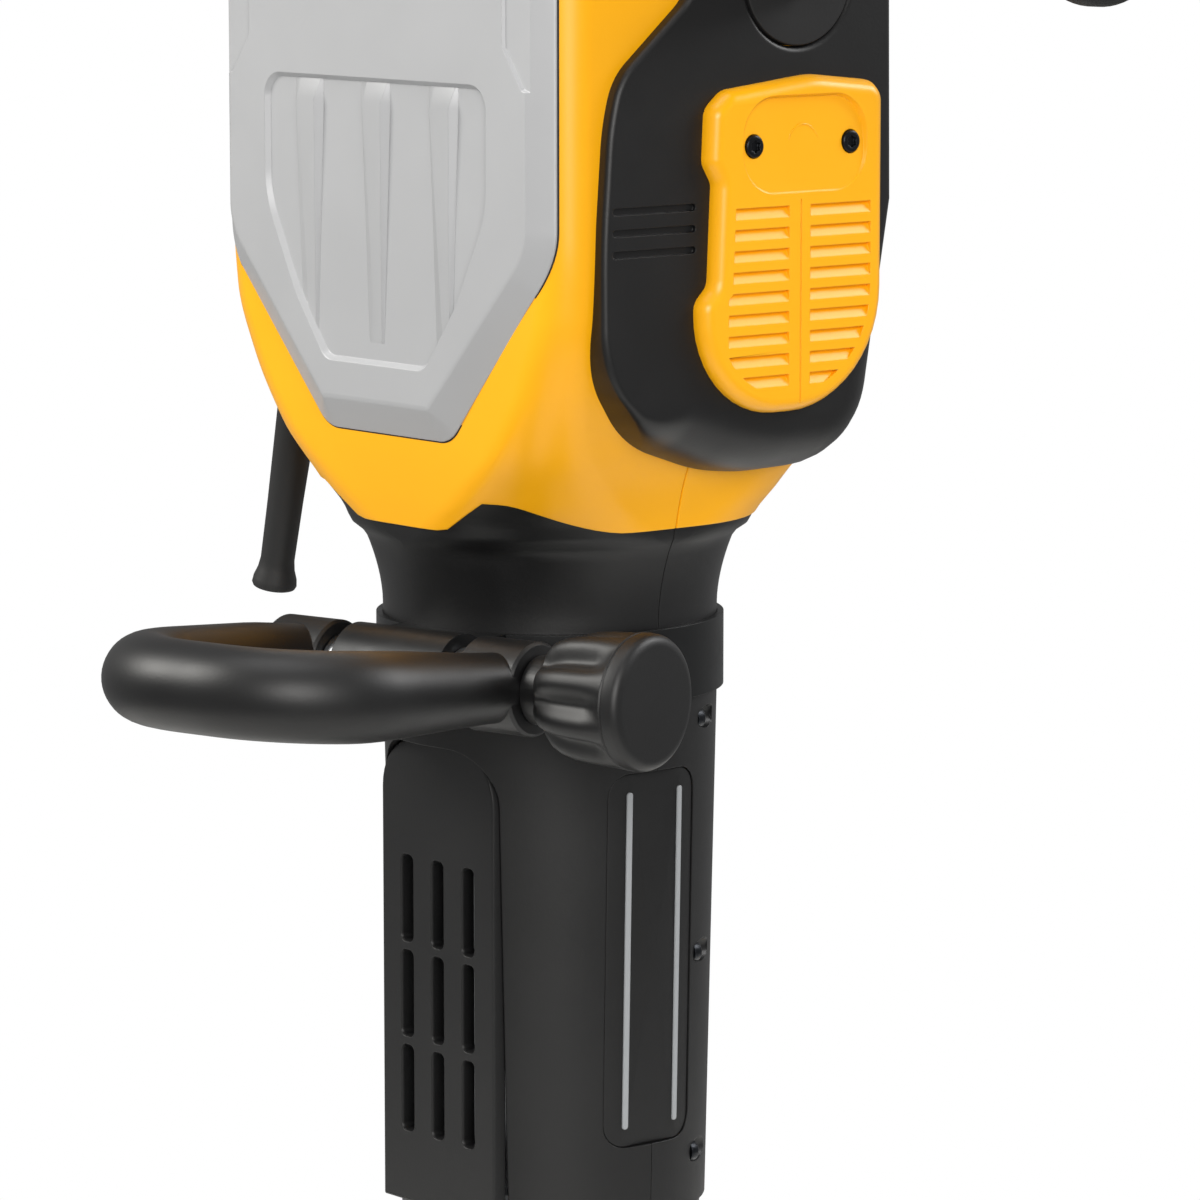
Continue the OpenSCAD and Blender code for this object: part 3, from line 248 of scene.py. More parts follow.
def eased(piece, radius, angle=30, segments=2):
    """Rounds the edges sharper than the angle."""
    bevel = piece.modifiers.new("Eased edges", "BEVEL")
    bevel.width = radius * MM
    bevel.segments = segments
    bevel.limit_method = "ANGLE"
    bevel.angle_limit = math.radians(angle)
    return baked(piece)


def ring_faces(count, rows, first=0, wrap=False):
    """Quads between rows of closed loops of points. wrap also joins the last row to the first."""
    faces = []
    for row in range(rows if wrap else rows - 1):
        here, there = first + row * count, first + (row + 1) % rows * count
        for i in range(count):
            j = (i + 1) % count
            faces.append((here + i, here + j, there + j, there + i))
    return faces


def rings_solid(name, rings):
    """Solid through closed rings of equal length, closed flat at both ends."""
    count = len(rings[0])
    points = [p for ring in rings for p in ring]
    faces = ring_faces(count, len(rings))
    faces += [tuple(range(count)), tuple(range(len(points) - count, len(points)))]
    return solid(name, points, faces)


def lathe(name, profile, place, sides=64, hollow=False, wave=None):
    """Turned solid. profile holds (along, radius); place maps (along, across, up) into the frame."""
    rows = []
    for along, radius in profile:
        row = []
        for i in range(sides):
            angle = 2 * math.pi * i / sides
            r = wave(angle, along, radius) if wave else radius
            row.append(place(along, r * math.cos(angle), r * math.sin(angle)))
        rows.append(row)
    points = [p for row in rows for p in row]
    faces = ring_faces(sides, len(rows), wrap=hollow)
    if not hollow:
        faces += [tuple(range(sides)), tuple(range(len(points) - sides, len(points)))]
    return solid(name, points, faces)


def along_x(y, z, sign=1):
    return lambda along, across, up: (sign * along, y + across, z + up)


def counter_clockwise(outline):
    p = np.array(outline, float)
    following = np.roll(p, -1, 0)
    area = np.sum(p[:, 0] * following[:, 1] - following[:, 0] * p[:, 1])
    return p if area > 0 else p[::-1]


def rounded(outline, radius, steps=6):
    """Counter-clockwise outline whose corners are arcs, smaller where an edge is too short for its two."""
    p = np.array(outline, float)
    ways = np.roll(p, -1, 0) - p
    lengths = np.linalg.norm(ways, axis=1)
    ways /= lengths[:, None]
    before = np.roll(ways, 1, 0)
    turns = np.arccos(np.clip(np.sum(before * ways, 1), -1, 1))
    reach = np.maximum(np.broadcast_to(radius, len(p)) * np.tan(turns / 2), 1e-6)
    room = 0.98 * lengths / (reach + np.roll(reach, -1))
    reach = reach * np.minimum(1, np.minimum(room, np.roll(room, 1)))
    curve = []
    for corner, back, ahead, turn, distance in zip(p, before, ways, turns, reach):
        a, b = corner - back * distance, corner + ahead * distance
        if turn < 0.01:
            curve += [a, b]
            continue
        centre = corner + (a + b - 2 * corner) / 2 / math.sin(turn / 2) ** 2
        for t in np.linspace(0, 1, steps + 1):
            curve.append(centre + (math.sin((1 - t) * turn) * (a - centre)
                                   + math.sin(t * turn) * (b - centre)) / math.sin(turn))
    return counter_clockwise(curve)


def round_box(u, v, width, height, radius, steps=5):
    w, h = width / 2, height / 2
    return rounded([(u - w, v - h), (u + w, v - h), (u + w, v + h), (u - w, v + h)], radius, steps)


def inset(outline, distance):
    """Outline moved to its left by a distance, one for all points or one each."""
    p = np.array(outline, float)
    before = p - np.roll(p, 1, 0)
    after = np.roll(p, -1, 0) - p
    before /= np.maximum(np.linalg.norm(before, axis=1), 1e-9)[:, None]
    after /= np.maximum(np.linalg.norm(after, axis=1), 1e-9)[:, None]
    n1 = np.stack([-before[:, 1], before[:, 0]], 1)
    n2 = np.stack([-after[:, 1], after[:, 0]], 1)
    mitre = (n1 + n2) / np.maximum(1 + np.sum(n1 * n2, 1), 0.4)[:, None]
    return p + mitre * np.broadcast_to(distance, len(p))[:, None]


def plate(name, outline, holes, levels, place):
    """Plate with shaped edges. levels are (inset, height) from back to front, numbers or rules for points."""
    points, faces = [], []
    loops = [counter_clockwise(outline)] + [counter_clockwise(h)[::-1] for h in holes]
    ends = {0: ([], []), len(levels) - 1: ([], [])}
    for loop in loops:
        start, count = len(points), len(loop)
        for k, (shift, height) in enumerate(levels):
            distance = shift(loop) if callable(shift) else shift
            heights = np.broadcast_to(height(loop) if callable(height) else height, count)
            ring = inset(loop, distance)
            if k in ends:
                ends[k][0].append([Vector((u, v, 0)) for u, v in ring])
                ends[k][1].extend(range(len(points), len(points) + count))
            points += [place(u, v, h) for (u, v), h in zip(ring, heights)]
        faces += ring_faces(count, len(levels), start)
    for flat, index in ends.values():
        faces += [tuple(index[i] for i in triangle) for triangle in tessellate_polygon(flat)]
    return solid(name, points, faces)


def pad(name, outline, levels, place, fill=6):
    """Closed pad on a curved surface: both of its faces are filled by rings that shrink to the middle."""
    loop = counter_clockwise(outline)
    middle = loop.mean(0)
    rings = []

    def shrunk(ring, height, shares):
        for share in shares:
            rings.append([place(*(middle + (p - middle) * share), height) for p in ring])

    shares = [k / fill for k in range(fill)]
    shrunk(inset(loop, levels[0][0]), levels[0][1], shares)
    for shift, height in levels:
        shrunk(inset(loop, shift), height, [1])
    shrunk(inset(loop, levels[-1][0]), levels[-1][1], shares[::-1])
    points = [p for ring in rings for p in ring]
    return solid(name, points, ring_faces(len(loop), len(rings)))


def through(points, steps=8):
    """Smooth curve through points, in small steps."""
    p = np.array(points, float)
    p = np.vstack([2 * p[0] - p[1], p, 2 * p[-1] - p[-2]])
    curve = []
    for i in range(1, len(p) - 2):
        for k in range(steps):
            t = k / steps
            curve.append(0.5 * (2 * p[i] + (p[i + 1] - p[i - 1]) * t
                                + (2 * p[i - 1] - 5 * p[i] + 4 * p[i + 1] - p[i + 2]) * t * t
                                + (3 * p[i] - p[i - 1] - 3 * p[i + 1] + p[i + 2]) * t ** 3))
    return np.array(curve + [p[-2]])


def sweep(name, path, radii, place, up=(0, 0, 1), sides=40):
    """Round bar along a path with a radius for each point."""
    path, up = np.array(path, float), np.array(up, float)
    tangents = np.gradient(path, axis=0)
    tangents /= np.linalg.norm(tangents, axis=1)[:, None]
    rings = []
    for p, tangent, r in zip(path, tangents, radii):
        side = np.cross(tangent, up)
        side /= np.linalg.norm(side)
        top = np.cross(side, tangent)
        angles = [2 * math.pi * i / sides for i in range(sides)]
        rings.append([place(*(p + r * (math.cos(a) * side + math.sin(a) * top))) for a in angles])
    return rings_solid(name, rings)


def join(name, *parts):
    """One mesh object from several, in their order."""
    work = bmesh.new()
    for part in parts:
        work.from_mesh(part.data)
        bpy.data.objects.remove(part)
    mesh = bpy.data.meshes.new(name)
    work.to_mesh(mesh)
    work.free()
    return new_object(name, mesh)


def fit(piece, body, slot, *nodes):
    """Gives a finished piece its finish and its body, and lets it stand for CAD nodes."""
    piece.data.materials.clear()
    piece.data.materials.append(bpy.data.materials[slot])
    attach(piece, body)
    if nodes:
        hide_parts(*nodes)
    return piece


def islands(node):
    """Boxes of the separate solids in a CAD node, in millimetres."""
    work = bmesh.new()
    work.from_mesh(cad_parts[node].data)
    bmesh.ops.remove_doubles(work, verts=work.verts, dist=1e-6)
    left, boxes = set(work.verts), []
    while left:
        group, edge = set(), [left.pop()]
        while edge:
            vert = edge.pop()
            group.add(vert)
            for link in vert.link_edges:
                other = link.other_vert(vert)
                if other in left:
                    left.discard(other)
                    edge.append(other)
        co = np.array([v.co for v in group]) / MM
        boxes.append((co.min(0), co.max(0)))
    work.free()
    return sorted(boxes, key=lambda b: tuple(np.round(b[0], 2)))


# ---------------------------------------------------------------- nodes

def add(tree, kind, inputs=None, **settings):
    """Adds a node, sets its properties, and fills or links its inputs by name or number."""
    node = tree.nodes.new(kind)
    for key, value in settings.items():
        setattr(node, key, value)
    for key, value in (inputs or {}).items():
        if isinstance(value, bpy.types.NodeSocket):
            tree.links.new(value, node.inputs[key])
        else:
            node.inputs[key].default_value = value
    return node


def geometry_tree(name, sockets):
    """Empty Geometry Nodes tree with named inputs, and its input node."""
    tree = bpy.data.node_groups.new(name, "GeometryNodeTree")
    tree.interface.new_socket("Geometry", in_out="INPUT", socket_type="NodeSocketGeometry")
    for label, kind in sockets.items():
        tree.interface.new_socket(label, in_out="INPUT", socket_type="NodeSocket" + kind)
    tree.interface.new_socket("Geometry", in_out="OUTPUT", socket_type="NodeSocketGeometry")
    return tree, add(tree, "NodeGroupInput")


def finish_tree(tree, instances, material):
    real = add(tree, "GeometryNodeRealizeInstances", {"Geometry": instances})
    paint = add(tree, "GeometryNodeSetMaterial", {"Geometry": real.outputs["Geometry"], "Material": material})
    add(tree, "NodeGroupOutput", {"Geometry": paint.outputs["Geometry"]})
    return tree


def fastener_tree():
    """Copies of one part on points, each turned to its point's own direction."""
    tree, given = geometry_tree("fasteners", {"Part": "Object", "Scale": "Float", "Material": "Material"})
    aim = add(tree, "GeometryNodeInputNamedAttribute", {"Name": "aim"}, data_type="FLOAT_VECTOR")
    turn = add(tree, "FunctionNodeAlignRotationToVector", {"Vector": aim.outputs["Attribute"]}, axis="Z")
    part = add(tree, "GeometryNodeObjectInfo", {"Object": given.outputs["Part"]})
    put = add(tree, "GeometryNodeInstanceOnPoints", {
        "Points": given.outputs["Geometry"], "Instance": part.outputs["Geometry"],
        "Rotation": turn.outputs["Rotation"], "Scale": given.outputs["Scale"]})
    return finish_tree(tree, put.outputs["Instances"], given.outputs["Material"])


def row_tree():
    """Copies of one part in a straight row."""
    tree, given = geometry_tree("row of parts", {
        "Part": "Object", "Count": "Int", "Start": "Vector", "Step": "Vector", "Material": "Material"})
    line = add(tree, "GeometryNodeMeshLine", {
        "Count": given.outputs["Count"], "Start Location": given.outputs["Start"],
        "Offset": given.outputs["Step"]}, mode="OFFSET")
    part = add(tree, "GeometryNodeObjectInfo", {"Object": given.outputs["Part"]})
    put = add(tree, "GeometryNodeInstanceOnPoints", {
        "Points": line.outputs["Mesh"], "Instance": part.outputs["Geometry"]})
    return finish_tree(tree, put.outputs["Instances"], given.outputs["Material"])


def grown(name, tree, mesh, **values):
    """Plain mesh object from a Geometry Nodes tree with its inputs set."""
    piece = new_object(name, mesh)
    nodes = piece.modifiers.new(tree.name, "NODES")
    nodes.node_group = tree
    for item in tree.interface.items_tree:
        if item.in_out == "INPUT" and item.name in values:
            nodes[item.identifier] = values[item.name]
    return baked(piece)


def row(name, part, count, start, step, slot):
    """Row of copies of a part, which is then removed."""
    tree = bpy.data.node_groups.get("row of parts") or row_tree()
    piece = grown(name, tree, bpy.data.meshes.new(name), Part=part, Count=count,
                  Start=Vector(start) * MM, Step=Vector(step) * MM, Material=bpy.data.materials[slot])
    bpy.data.objects.remove(part)
    return piece


def on_points(name, part, spots, scale, slot):
    """Copies of a part on (place, direction) spots, in millimetres. The part is then removed."""
    mesh = bpy.data.meshes.new(name)
    mesh.from_pydata([[c * MM for c in place] for place, _ in spots], [], [])
    aim = mesh.attributes.new("aim", "FLOAT_VECTOR", "POINT")
    aim.data.foreach_set("vector", [c for _, direction in spots for c in direction])
    tree = bpy.data.node_groups.get("fasteners") or fastener_tree()
    piece = grown(name, tree, mesh, Part=part, Scale=scale, Material=bpy.data.materials[slot])
    bpy.data.objects.remove(part)
    return piece


# ---------------------------------------------------------------- finishes

def surface(name, colour, roughness, shade=0.06, cloud_mm=60, grain_mm=1.4, grain_h=0.03, uneven=0.05,
            **shader):
    """Surface whose colour and gloss drift slowly and whose face has a fine grain; sizes in millimetres."""
    material = bpy.data.materials.new(name)
    material.use_nodes = True
    tree = material.node_tree
    tree.nodes.clear()
    place = add(tree, "ShaderNodeTexCoord")
    cloud = add(tree, "ShaderNodeTexNoise", {
        "Vector": place.outputs["Object"], "Scale": 1 / (cloud_mm * MM), "Detail": 4.0, "Roughness": 0.6})
    grain = add(tree, "ShaderNodeTexNoise", {
        "Vector": place.outputs["Object"], "Scale": 1 / (grain_mm * MM), "Detail": 2.0})
    dark = [c * (1 - shade) for c in colour[:3]] + [1]
    light = [min(1, c * (1 + shade)) for c in colour[:3]] + [1]
    tint = add(tree, "ShaderNodeMix", {0: cloud.outputs["Fac"], 6: dark, 7: light}, data_type="RGBA")
    gloss = add(tree, "ShaderNodeMapRange", {
        "Value": cloud.outputs["Fac"], "From Min": 0.3, "From Max": 0.7,
        "To Min": max(0.02, roughness - uneven), "To Max": min(1, roughness + uneven)})
    soft = add(tree, "ShaderNodeBevel", {"Radius": 0.5 * MM}, samples=4)
    bump = add(tree, "ShaderNodeBump", {
        "Height": grain.outputs["Fac"], "Strength": 0.6, "Distance": grain_h * MM,
        "Normal": soft.outputs["Normal"]})
    bsdf = add(tree, "ShaderNodeBsdfPrincipled", {
        "Base Color": tint.outputs[2], "Roughness": gloss.outputs["Result"], "Normal": bump.outputs["Normal"]})
    for key, value in shader.items():
        bsdf.inputs[key.replace("_", " ")].default_value = value
    add(tree, "ShaderNodeOutputMaterial", {"Surface": bsdf.outputs["BSDF"]})
    return material


def make_finishes():
    colours = sizes("colours")
    # Injection-moulded glass-filled nylon: even colour, satin gloss and a spark-eroded mould grain
    surface("yellow_plastic", colours.yellow, 0.34, shade=0.03, IOR=1.5, grain_mm=1.1, grain_h=0.02)
    # The same nylon in black, with a coarser mould grain that greys its highlights
    surface("black_plastic", colours.black, 0.46, shade=0.12, IOR=1.5, grain_mm=1.2, grain_h=0.05)
    # Cover moulded in grey and sprayed silver: a fine metal flake under a satin lacquer
    surface("silver_plastic", colours.silver, 0.38, shade=0.03, grain_mm=0.9, grain_h=0.012,
            Metallic=0.15, IOR=1.48)
    # Soft thermoplastic rubber over the grips: dull, with a pebbled face
    surface("soft_grip", colours.rubber, 0.72, shade=0.15, grain_mm=1.8, grain_h=0.12, IOR=1.5)
    # Moulded rubber: dull black with a faint bloom
    surface("black_rubber", colours.rubber, 0.62, shade=0.2, grain_mm=1.5, grain_h=0.05, IOR=1.52)
    # Moulded red nylon of the switch levers
    surface("red_plastic", colours.red, 0.36, shade=0.06, IOR=1.5, grain_h=0.02)
    # Black-oxide screws: dark steel with an oily gloss
    surface("black_screws", lin("#24262A"), 0.34, shade=0.25, cloud_mm=8, grain_mm=0.8, Metallic=0.85)
    # Phosphated steel of the clamp: dark, matt and slightly mottled
    surface("black_steel", lin("#121314"), 0.42, shade=0.2, cloud_mm=14, grain_mm=0.9, Metallic=0.4)
    # Zinc-plated steel: pale, with soft cloudy patches from the plating bath
    surface("zinc_steel", lin("#B9BCBF"), 0.3, shade=0.1, cloud_mm=9, grain_h=0.01, uneven=0.1, Metallic=1.0)
    # Forged and shot-blasted steel of the tool holder: dark grey with a pitted skin
    surface("forged_steel", lin("#5C5E61"), 0.48, shade=0.18, cloud_mm=18, grain_mm=1.6, grain_h=0.14,
            uneven=0.12, Metallic=1.0)
    # Ground steel of the striker, ram and rod: bright and even
    surface("ground_steel", lin("#C3C5C8"), 0.22, shade=0.05, grain_mm=0.7, grain_h=0.008, Metallic=1.0)
    # Case-hardened gear steel: grey with a brown heat tint
    surface("gear_steel", lin("#77736E"), 0.35, shade=0.15, cloud_mm=12, Metallic=1.0)
    # Die-cast aluminium of the gear case: pale grey with a cast skin
    surface("cast_aluminium", lin("#A9ACAF"), 0.5, shade=0.08, grain_mm=1.6, grain_h=0.08, Metallic=1.0)
    # Bare copper of the commutator, browned by the brushes
    surface("copper", lin("#B5683A"), 0.35, shade=0.2, cloud_mm=6, Metallic=1.0)
    # Stacked and varnished electrical steel
    surface("laminations", lin("#5E4E40"), 0.5, shade=0.15, cloud_mm=5, Metallic=0.6)
    # Pressed carbon of the brushes: soft black
    surface("carbon", lin("#1A1A1B"), 0.7, shade=0.2, cloud_mm=4)
    # Light grey printed foil of the label strips
    surface("label_grey", colours.rail, 0.4, shade=0.05, grain_h=0.008, IOR=1.5)


def paint_frame():
    """Gives each CAD node the finish that its flat packed material is named for."""
    slots = [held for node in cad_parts.values() for held in node.material_slots]
    for flat in dict.fromkeys(held.material for held in slots):
        flat.name = "flat_" + flat.name.split(".")[0]
    make_finishes()
    for held in slots:
        held.material = bpy.data.materials[held.material.name.removeprefix("flat_").split(".")[0]]


# ---------------------------------------------------------------- housing form

# Half sections of the housing from the top down: height, half width, half depth, corner radius
SECTIONS = np.array([
    (BODY_HIGH[2], 100, 77, 14), (600, 100, 77, 14), (515, 100, 77, 14), (490, 98.5, 77, 15),
    (465, 92, 76.2, 19), (440, 82, 74.8, 27), (420, 74.5, 72.5, 45), (405, 71.5, 70.6, 62),
    (390, 71, 70.4, 66)], float)[::-1]


def eased_keys(z, keys):
    """Values between keys that rise in their first column, on a smooth curve that doesn't overshoot."""
    zs, values = keys[:, 0], keys[:, 1:]
    slope = np.diff(values, axis=0) / np.diff(zs)[:, None]
    ends = np.zeros_like(values)
    same = slope[:-1] * slope[1:] > 0
    mean = 2 * slope[:-1] * slope[1:] / np.where(same, slope[:-1] + slope[1:], 1)
    ends[1:-1] = np.where(same, mean, 0)
    z = np.clip(z, zs[0], zs[-1])
    i = min(int(np.searchsorted(zs, z, "right")) - 1, len(zs) - 2)
    h = zs[i + 1] - zs[i]
    t = (z - zs[i]) / h
    return ((1 + 2 * t) * (1 - t) ** 2 * values[i] + t * (1 - t) ** 2 * h * ends[i]
            + t * t * (3 - 2 * t) * values[i + 1] + t * t * (t - 1) * h * ends[i + 1])


def half_path(side=14, corner=22, front=44):
    """Shares that place the points of half a rounded rectangle, from one side round the front to the other."""
    rows = [(1, 1, t / side, 0) for t in range(side)]
    rows += [(1, math.cos(a), 1, math.sin(a)) for a in np.linspace(0, math.pi / 2, corner)]
    rows += [(1 - 2 * t / front, 0, 1, 1) for t in range(1, front)]
    rows += [(-1, -math.cos(a), 1, math.sin(a)) for a in np.linspace(math.pi / 2, 0, corner)]
    rows += [(-1, -1, t / side, 0) for t in range(side - 1, -1, -1)]
    return np.array(rows)


HALF = half_path()


def section(a, b, r, share):
    fx, ax, fy, ay = share
    r = min(r, a, b)
    return fx * (a - r) + ax * r, fy * (b - r) + ay * r


def half_shell(name, heights, keys, sign, seam, wall, edge_r):
    """Half shell of the housing's kind. heights holds, for each row, a rule from a point's x to its height."""
    points = []
    for height in heights:
        for share in HALF:
            x, _ = section(*eased_keys(420, keys), share)
            z = height(x)
            x, y = section(*eased_keys(z, keys), share)
            points.append((x, sign * max(y, seam / 2), z))
    count, faces = len(HALF), []
    for r in range(len(heights) - 1):
        for i in range(count - 1):
            a, b = r * count + i, (r + 1) * count + i
            faces.append((a, a + 1, b + 1, b) if sign < 0 else (a, b, b + 1, a + 1))
    piece = solid(name, points, faces, closed=False)
    thick = piece.modifiers.new("Wall", "SOLIDIFY")
    thick.thickness = wall * MM
    thick.offset = -1
    baked(piece)
    return eased(piece, edge_r, angle=60)


def side_surface(y, z):
    """How far the housing's side stands from the axis at a place on it."""
    a, b, r = eased_keys(z, SECTIONS)
    over = min(max(0, abs(y) - (b - r)), r)
    return a - r + math.sqrt(r * r - over * over)


def front_surface(x, z):
    a, b, r = eased_keys(z, SECTIONS)
    over = min(max(0, abs(x) - (a - r)), r)
    return -(b - r + math.sqrt(r * r - over * over))


def ramp(value, start, end):
    """Smooth rise from 0 at start to 1 at end."""
    t = np.clip((value - start) / (end - start), 0, 1)
    return t * t * (3 - 2 * t)


def lower_edge(x, notch):
    """Height of the housing's lower edge: level, with a notch that rises over each front corner."""
    round_angle = math.degrees(math.asin(min(1, abs(x) / 74.5)))
    return BODY_LOW[2] + 1 + notch * ramp(round_angle, 31, 38) * ramp(round_angle, 82, 44)


def bar(name, start, end, radius, sides=32):
    """Straight round bar between two points, in millimetres."""
    start, end = Vector(start), Vector(end)
    turn = (end - start).to_track_quat("Z", "Y").to_matrix()
    place = lambda along, across, up: tuple(start + turn @ Vector((across, up, along)))
    return lathe(name, [(0, radius), ((end - start).length, radius)], place, sides)


def head_sockets(node, radius, axis=1, depth=4, reach=8):
    """Cutters that let the heads of a node's screws into a skin along an axis."""
    cutters = []
    for low, high in islands(node):
        bottom, top = (low + high) / 2, (low + high) / 2
        bottom[axis], top[axis] = high[axis] - depth, high[axis] + reach
        cutters.append(bar("hole", bottom, top, radius))
    return cutters


class HAMMER_OT_housing(bpy.types.Operator):
    """Builds the two yellow housing shells with their rounded taper and wavy lower edge"""
    bl_idname = "hammer.housing"
    bl_label = "Housing shells"

    def execute(self, context):
        size = sizes("housing")
        top = BODY_HIGH[2] - 0.3
        rows = 96
        for sign, name, notch in ((-1, "front_housing", size.notch_h), (1, "rear_housing", 0)):
            heights = [
                (lambda x, t=k / (rows - 1), n=notch: top + (lower_edge(x, n) - top) * t) for k in range(rows)]
            piece = half_shell(name + "_shell", heights, SECTIONS, sign, size.seam, size.wall, size.edge_r)
            if sign > 0:
                for side in (-1, 1):
                    cut(piece, bar("hole", (side * 80, BOOT_Y, BOOT_Z), (side * 120, BOOT_Y, BOOT_Z), BOOT_R))
                cut(piece, *head_sockets("housing_screws", 4.3))
            smooth(piece, 40)
            fit(piece, "housing", "yellow_plastic", name)
        return {"FINISHED"}


class HAMMER_OT_front_plate(bpy.types.Operator):
    """Builds the silver front plate with its sloping border, recessed field and upright ribs"""
    bl_idname = "hammer.front_plate"
    bl_label = "Front plate"

    def execute(self, context):
        size = sizes("housing")
        half, low, high = PLATE_HIGH[0] - 1.5, PLATE_LOW[2] + 1.5, PLATE_HIGH[2] - 1.5
        face_y = PLATE_LOW[1]
        end, corner_h = 36, 66
        outline = rounded([
            (-end, low), (end, low), (half, low + corner_h), (half, high - corner_h / 2), (end + 30, high),
            (-end - 30, high), (-half, high - corner_h / 2), (-half, low + corner_h)],
            [14, 14, 34, 22, 16, 16, 22, 34], 10)

        def place(x, z, share):
            return x, front_surface(x, z) * (1 - share) + face_y * share, z

        def border(share):
            """Part of the border's width, which grows towards the lower end."""
            return lambda p: (size.plate_bevel + 3.5 * ramp(p[:, 1], 530, 470)) * share

        levels = [(0.6, -0.5), (0.6, 0.0), (0.6, 0.08), (border(0.12), 0.14), (border(0.92), 0.93),
                  (border(1.0), 0.98), (border(1.1), 1.0)]
        piece = plate("front_plate", outline, [], levels, place)
        field_low, field_high = low + 26, low + 129
        field = rounded([
            (-29, field_low), (29, field_low), (47, field_low + 24), (64.5, field_low + 58), (64.5, field_high),
            (-64.5, field_high), (-64.5, field_low + 58), (-47, field_low + 24)],
            [8, 8, 60, 40, 9, 9, 40, 60], 8)
        floor_y = face_y + size.recess_depth
        tool = plate("field", field, [], [(1.6, floor_y), (-1.6, face_y - size.recess_depth)], frontal)
        flanks = []
        for s in (-1, 1):
            edge = [(73.5, high + 9), (73.5, field_high + 13.5), (84, field_high - 1), (110, field_high - 10),
                    (110, high + 9)]
            flanks.append(plate("flank", [(s * x, z) for x, z in edge], [],
                                [(0.7, face_y + 1.3), (-0.7, face_y - 1.3)], frontal))
        cut(piece, tool, *flanks)
        # Each rib is highest near its upper end and fades into the field: height, half width, rise
        rib_steps = ((field_high - 1.5, 8.6, 0.2), (field_high - 9, 8.6, size.rib_h), (low + 34, 4.6, 0))
        ribs = []
        for k in (-1, 0, 1):
            x = k * size.rib_pitch
            rings = []
            for z, half_w, h in rib_steps:
                y = floor_y - h
                rings.append([(x - half_w, floor_y + 2, z), (x - half_w, floor_y - 0.02, z),
                              (x - half_w + 3.4, y + h * 0.35, z), (x + half_w - 2.2, y - 0.05, z),
                              (x + half_w - 0.5, floor_y - 0.02, z), (x + half_w, floor_y + 2, z)])
            ribs.append(rings_solid("rib", rings))
        cut(piece, *ribs, operation="UNION")
        eased(piece, 0.6, angle=24)
        fit(smooth(piece, 40), "housing", "silver_plastic", "front_cover_plate")
        # Painted shade: a thin dark strip laid just over the yellow round the plate stands in for the shadow in
        # the seam gap between the plate and the housing.
        groove = plate("front_plate_gasket", inset(outline, 0.05), [inset(outline, 2)], [
            (0, -0.04), (0, 0.01), (0.05, 0.012)], place)
        fit(smooth(groove), "housing", "black_rubber")
        return {"FINISHED"}


class HAMMER_OT_top_cap(bpy.types.Operator):
    """Builds the black top cap with its sloping crown"""
    bl_idname = "hammer.top_cap"
    bl_label = "Top cap"

    def execute(self, context):
        low, high = CAP_LOW[2] + 0.3, CAP_HIGH[2]
        side, a, b, r = low + 33, CAP_HIGH[0], CAP_HIGH[1], sizes("housing").corner_r
        levels = [
            (low, a - 0.6, b - 0.6, r), (low + 0.6, a, b, r), (side - 2, a, b, r), (side, a - 0.5, b - 0.4, r),
            (side + 2, a - 1.6, b - 1.3, r), (high - 4, a - 23.5, b - 18.6, r + 5),
            (high - 1.2, a - 26, b - 21, r + 6), (high, a - 29, b - 24, r + 6)]
        ring = np.vstack([HALF * (1, 1, -1, -1), HALF[::-1][1:-1]])
        rings = [[(*section(wide, deep, round_r, share), z) for share in ring]
                 for z, wide, deep, round_r in levels]
        piece = cut(rings_solid("top_cap_shell", rings), *head_sockets("top_cap_screws", 4.4, axis=2))
        fit(smooth(piece, 28), "housing", "black_plastic", "top_cap")
        return {"FINISHED"}


# ---------------------------------------------------------------- side panels

# Outlines seen from the side: distance behind the axis, height, corner radius
WING = np.array([
    (-24, 598.5, 18), (-54.5, 573, 25), (-59, 556, 90), (-62, 515, 300), (-61.5, 470, 40), (-35, 442, 60),
    (10, 427.5, 100), (76, 429, 34), (74, 527, 300), (72, 696, 10), (40, 704, 16), (0, 690, 12), (0, 640, 16)])
COVER = np.array([
    (-21, 493, 7), (-21.5, 452, 38), (65.5, 452, 43), (65.5, 568.5, 8), (32, 572, 40), (-9, 567.5, 9),
    (-16.7, 561, 7), (-17.6, 542, 6), (-13.3, 535, 6), (-15, 499, 6)])


def mirrored(sign):
    """Places a side piece: its own u along Y, v along Z and height away from the axis."""
    return lambda u, v, height: (sign * height, u, v)


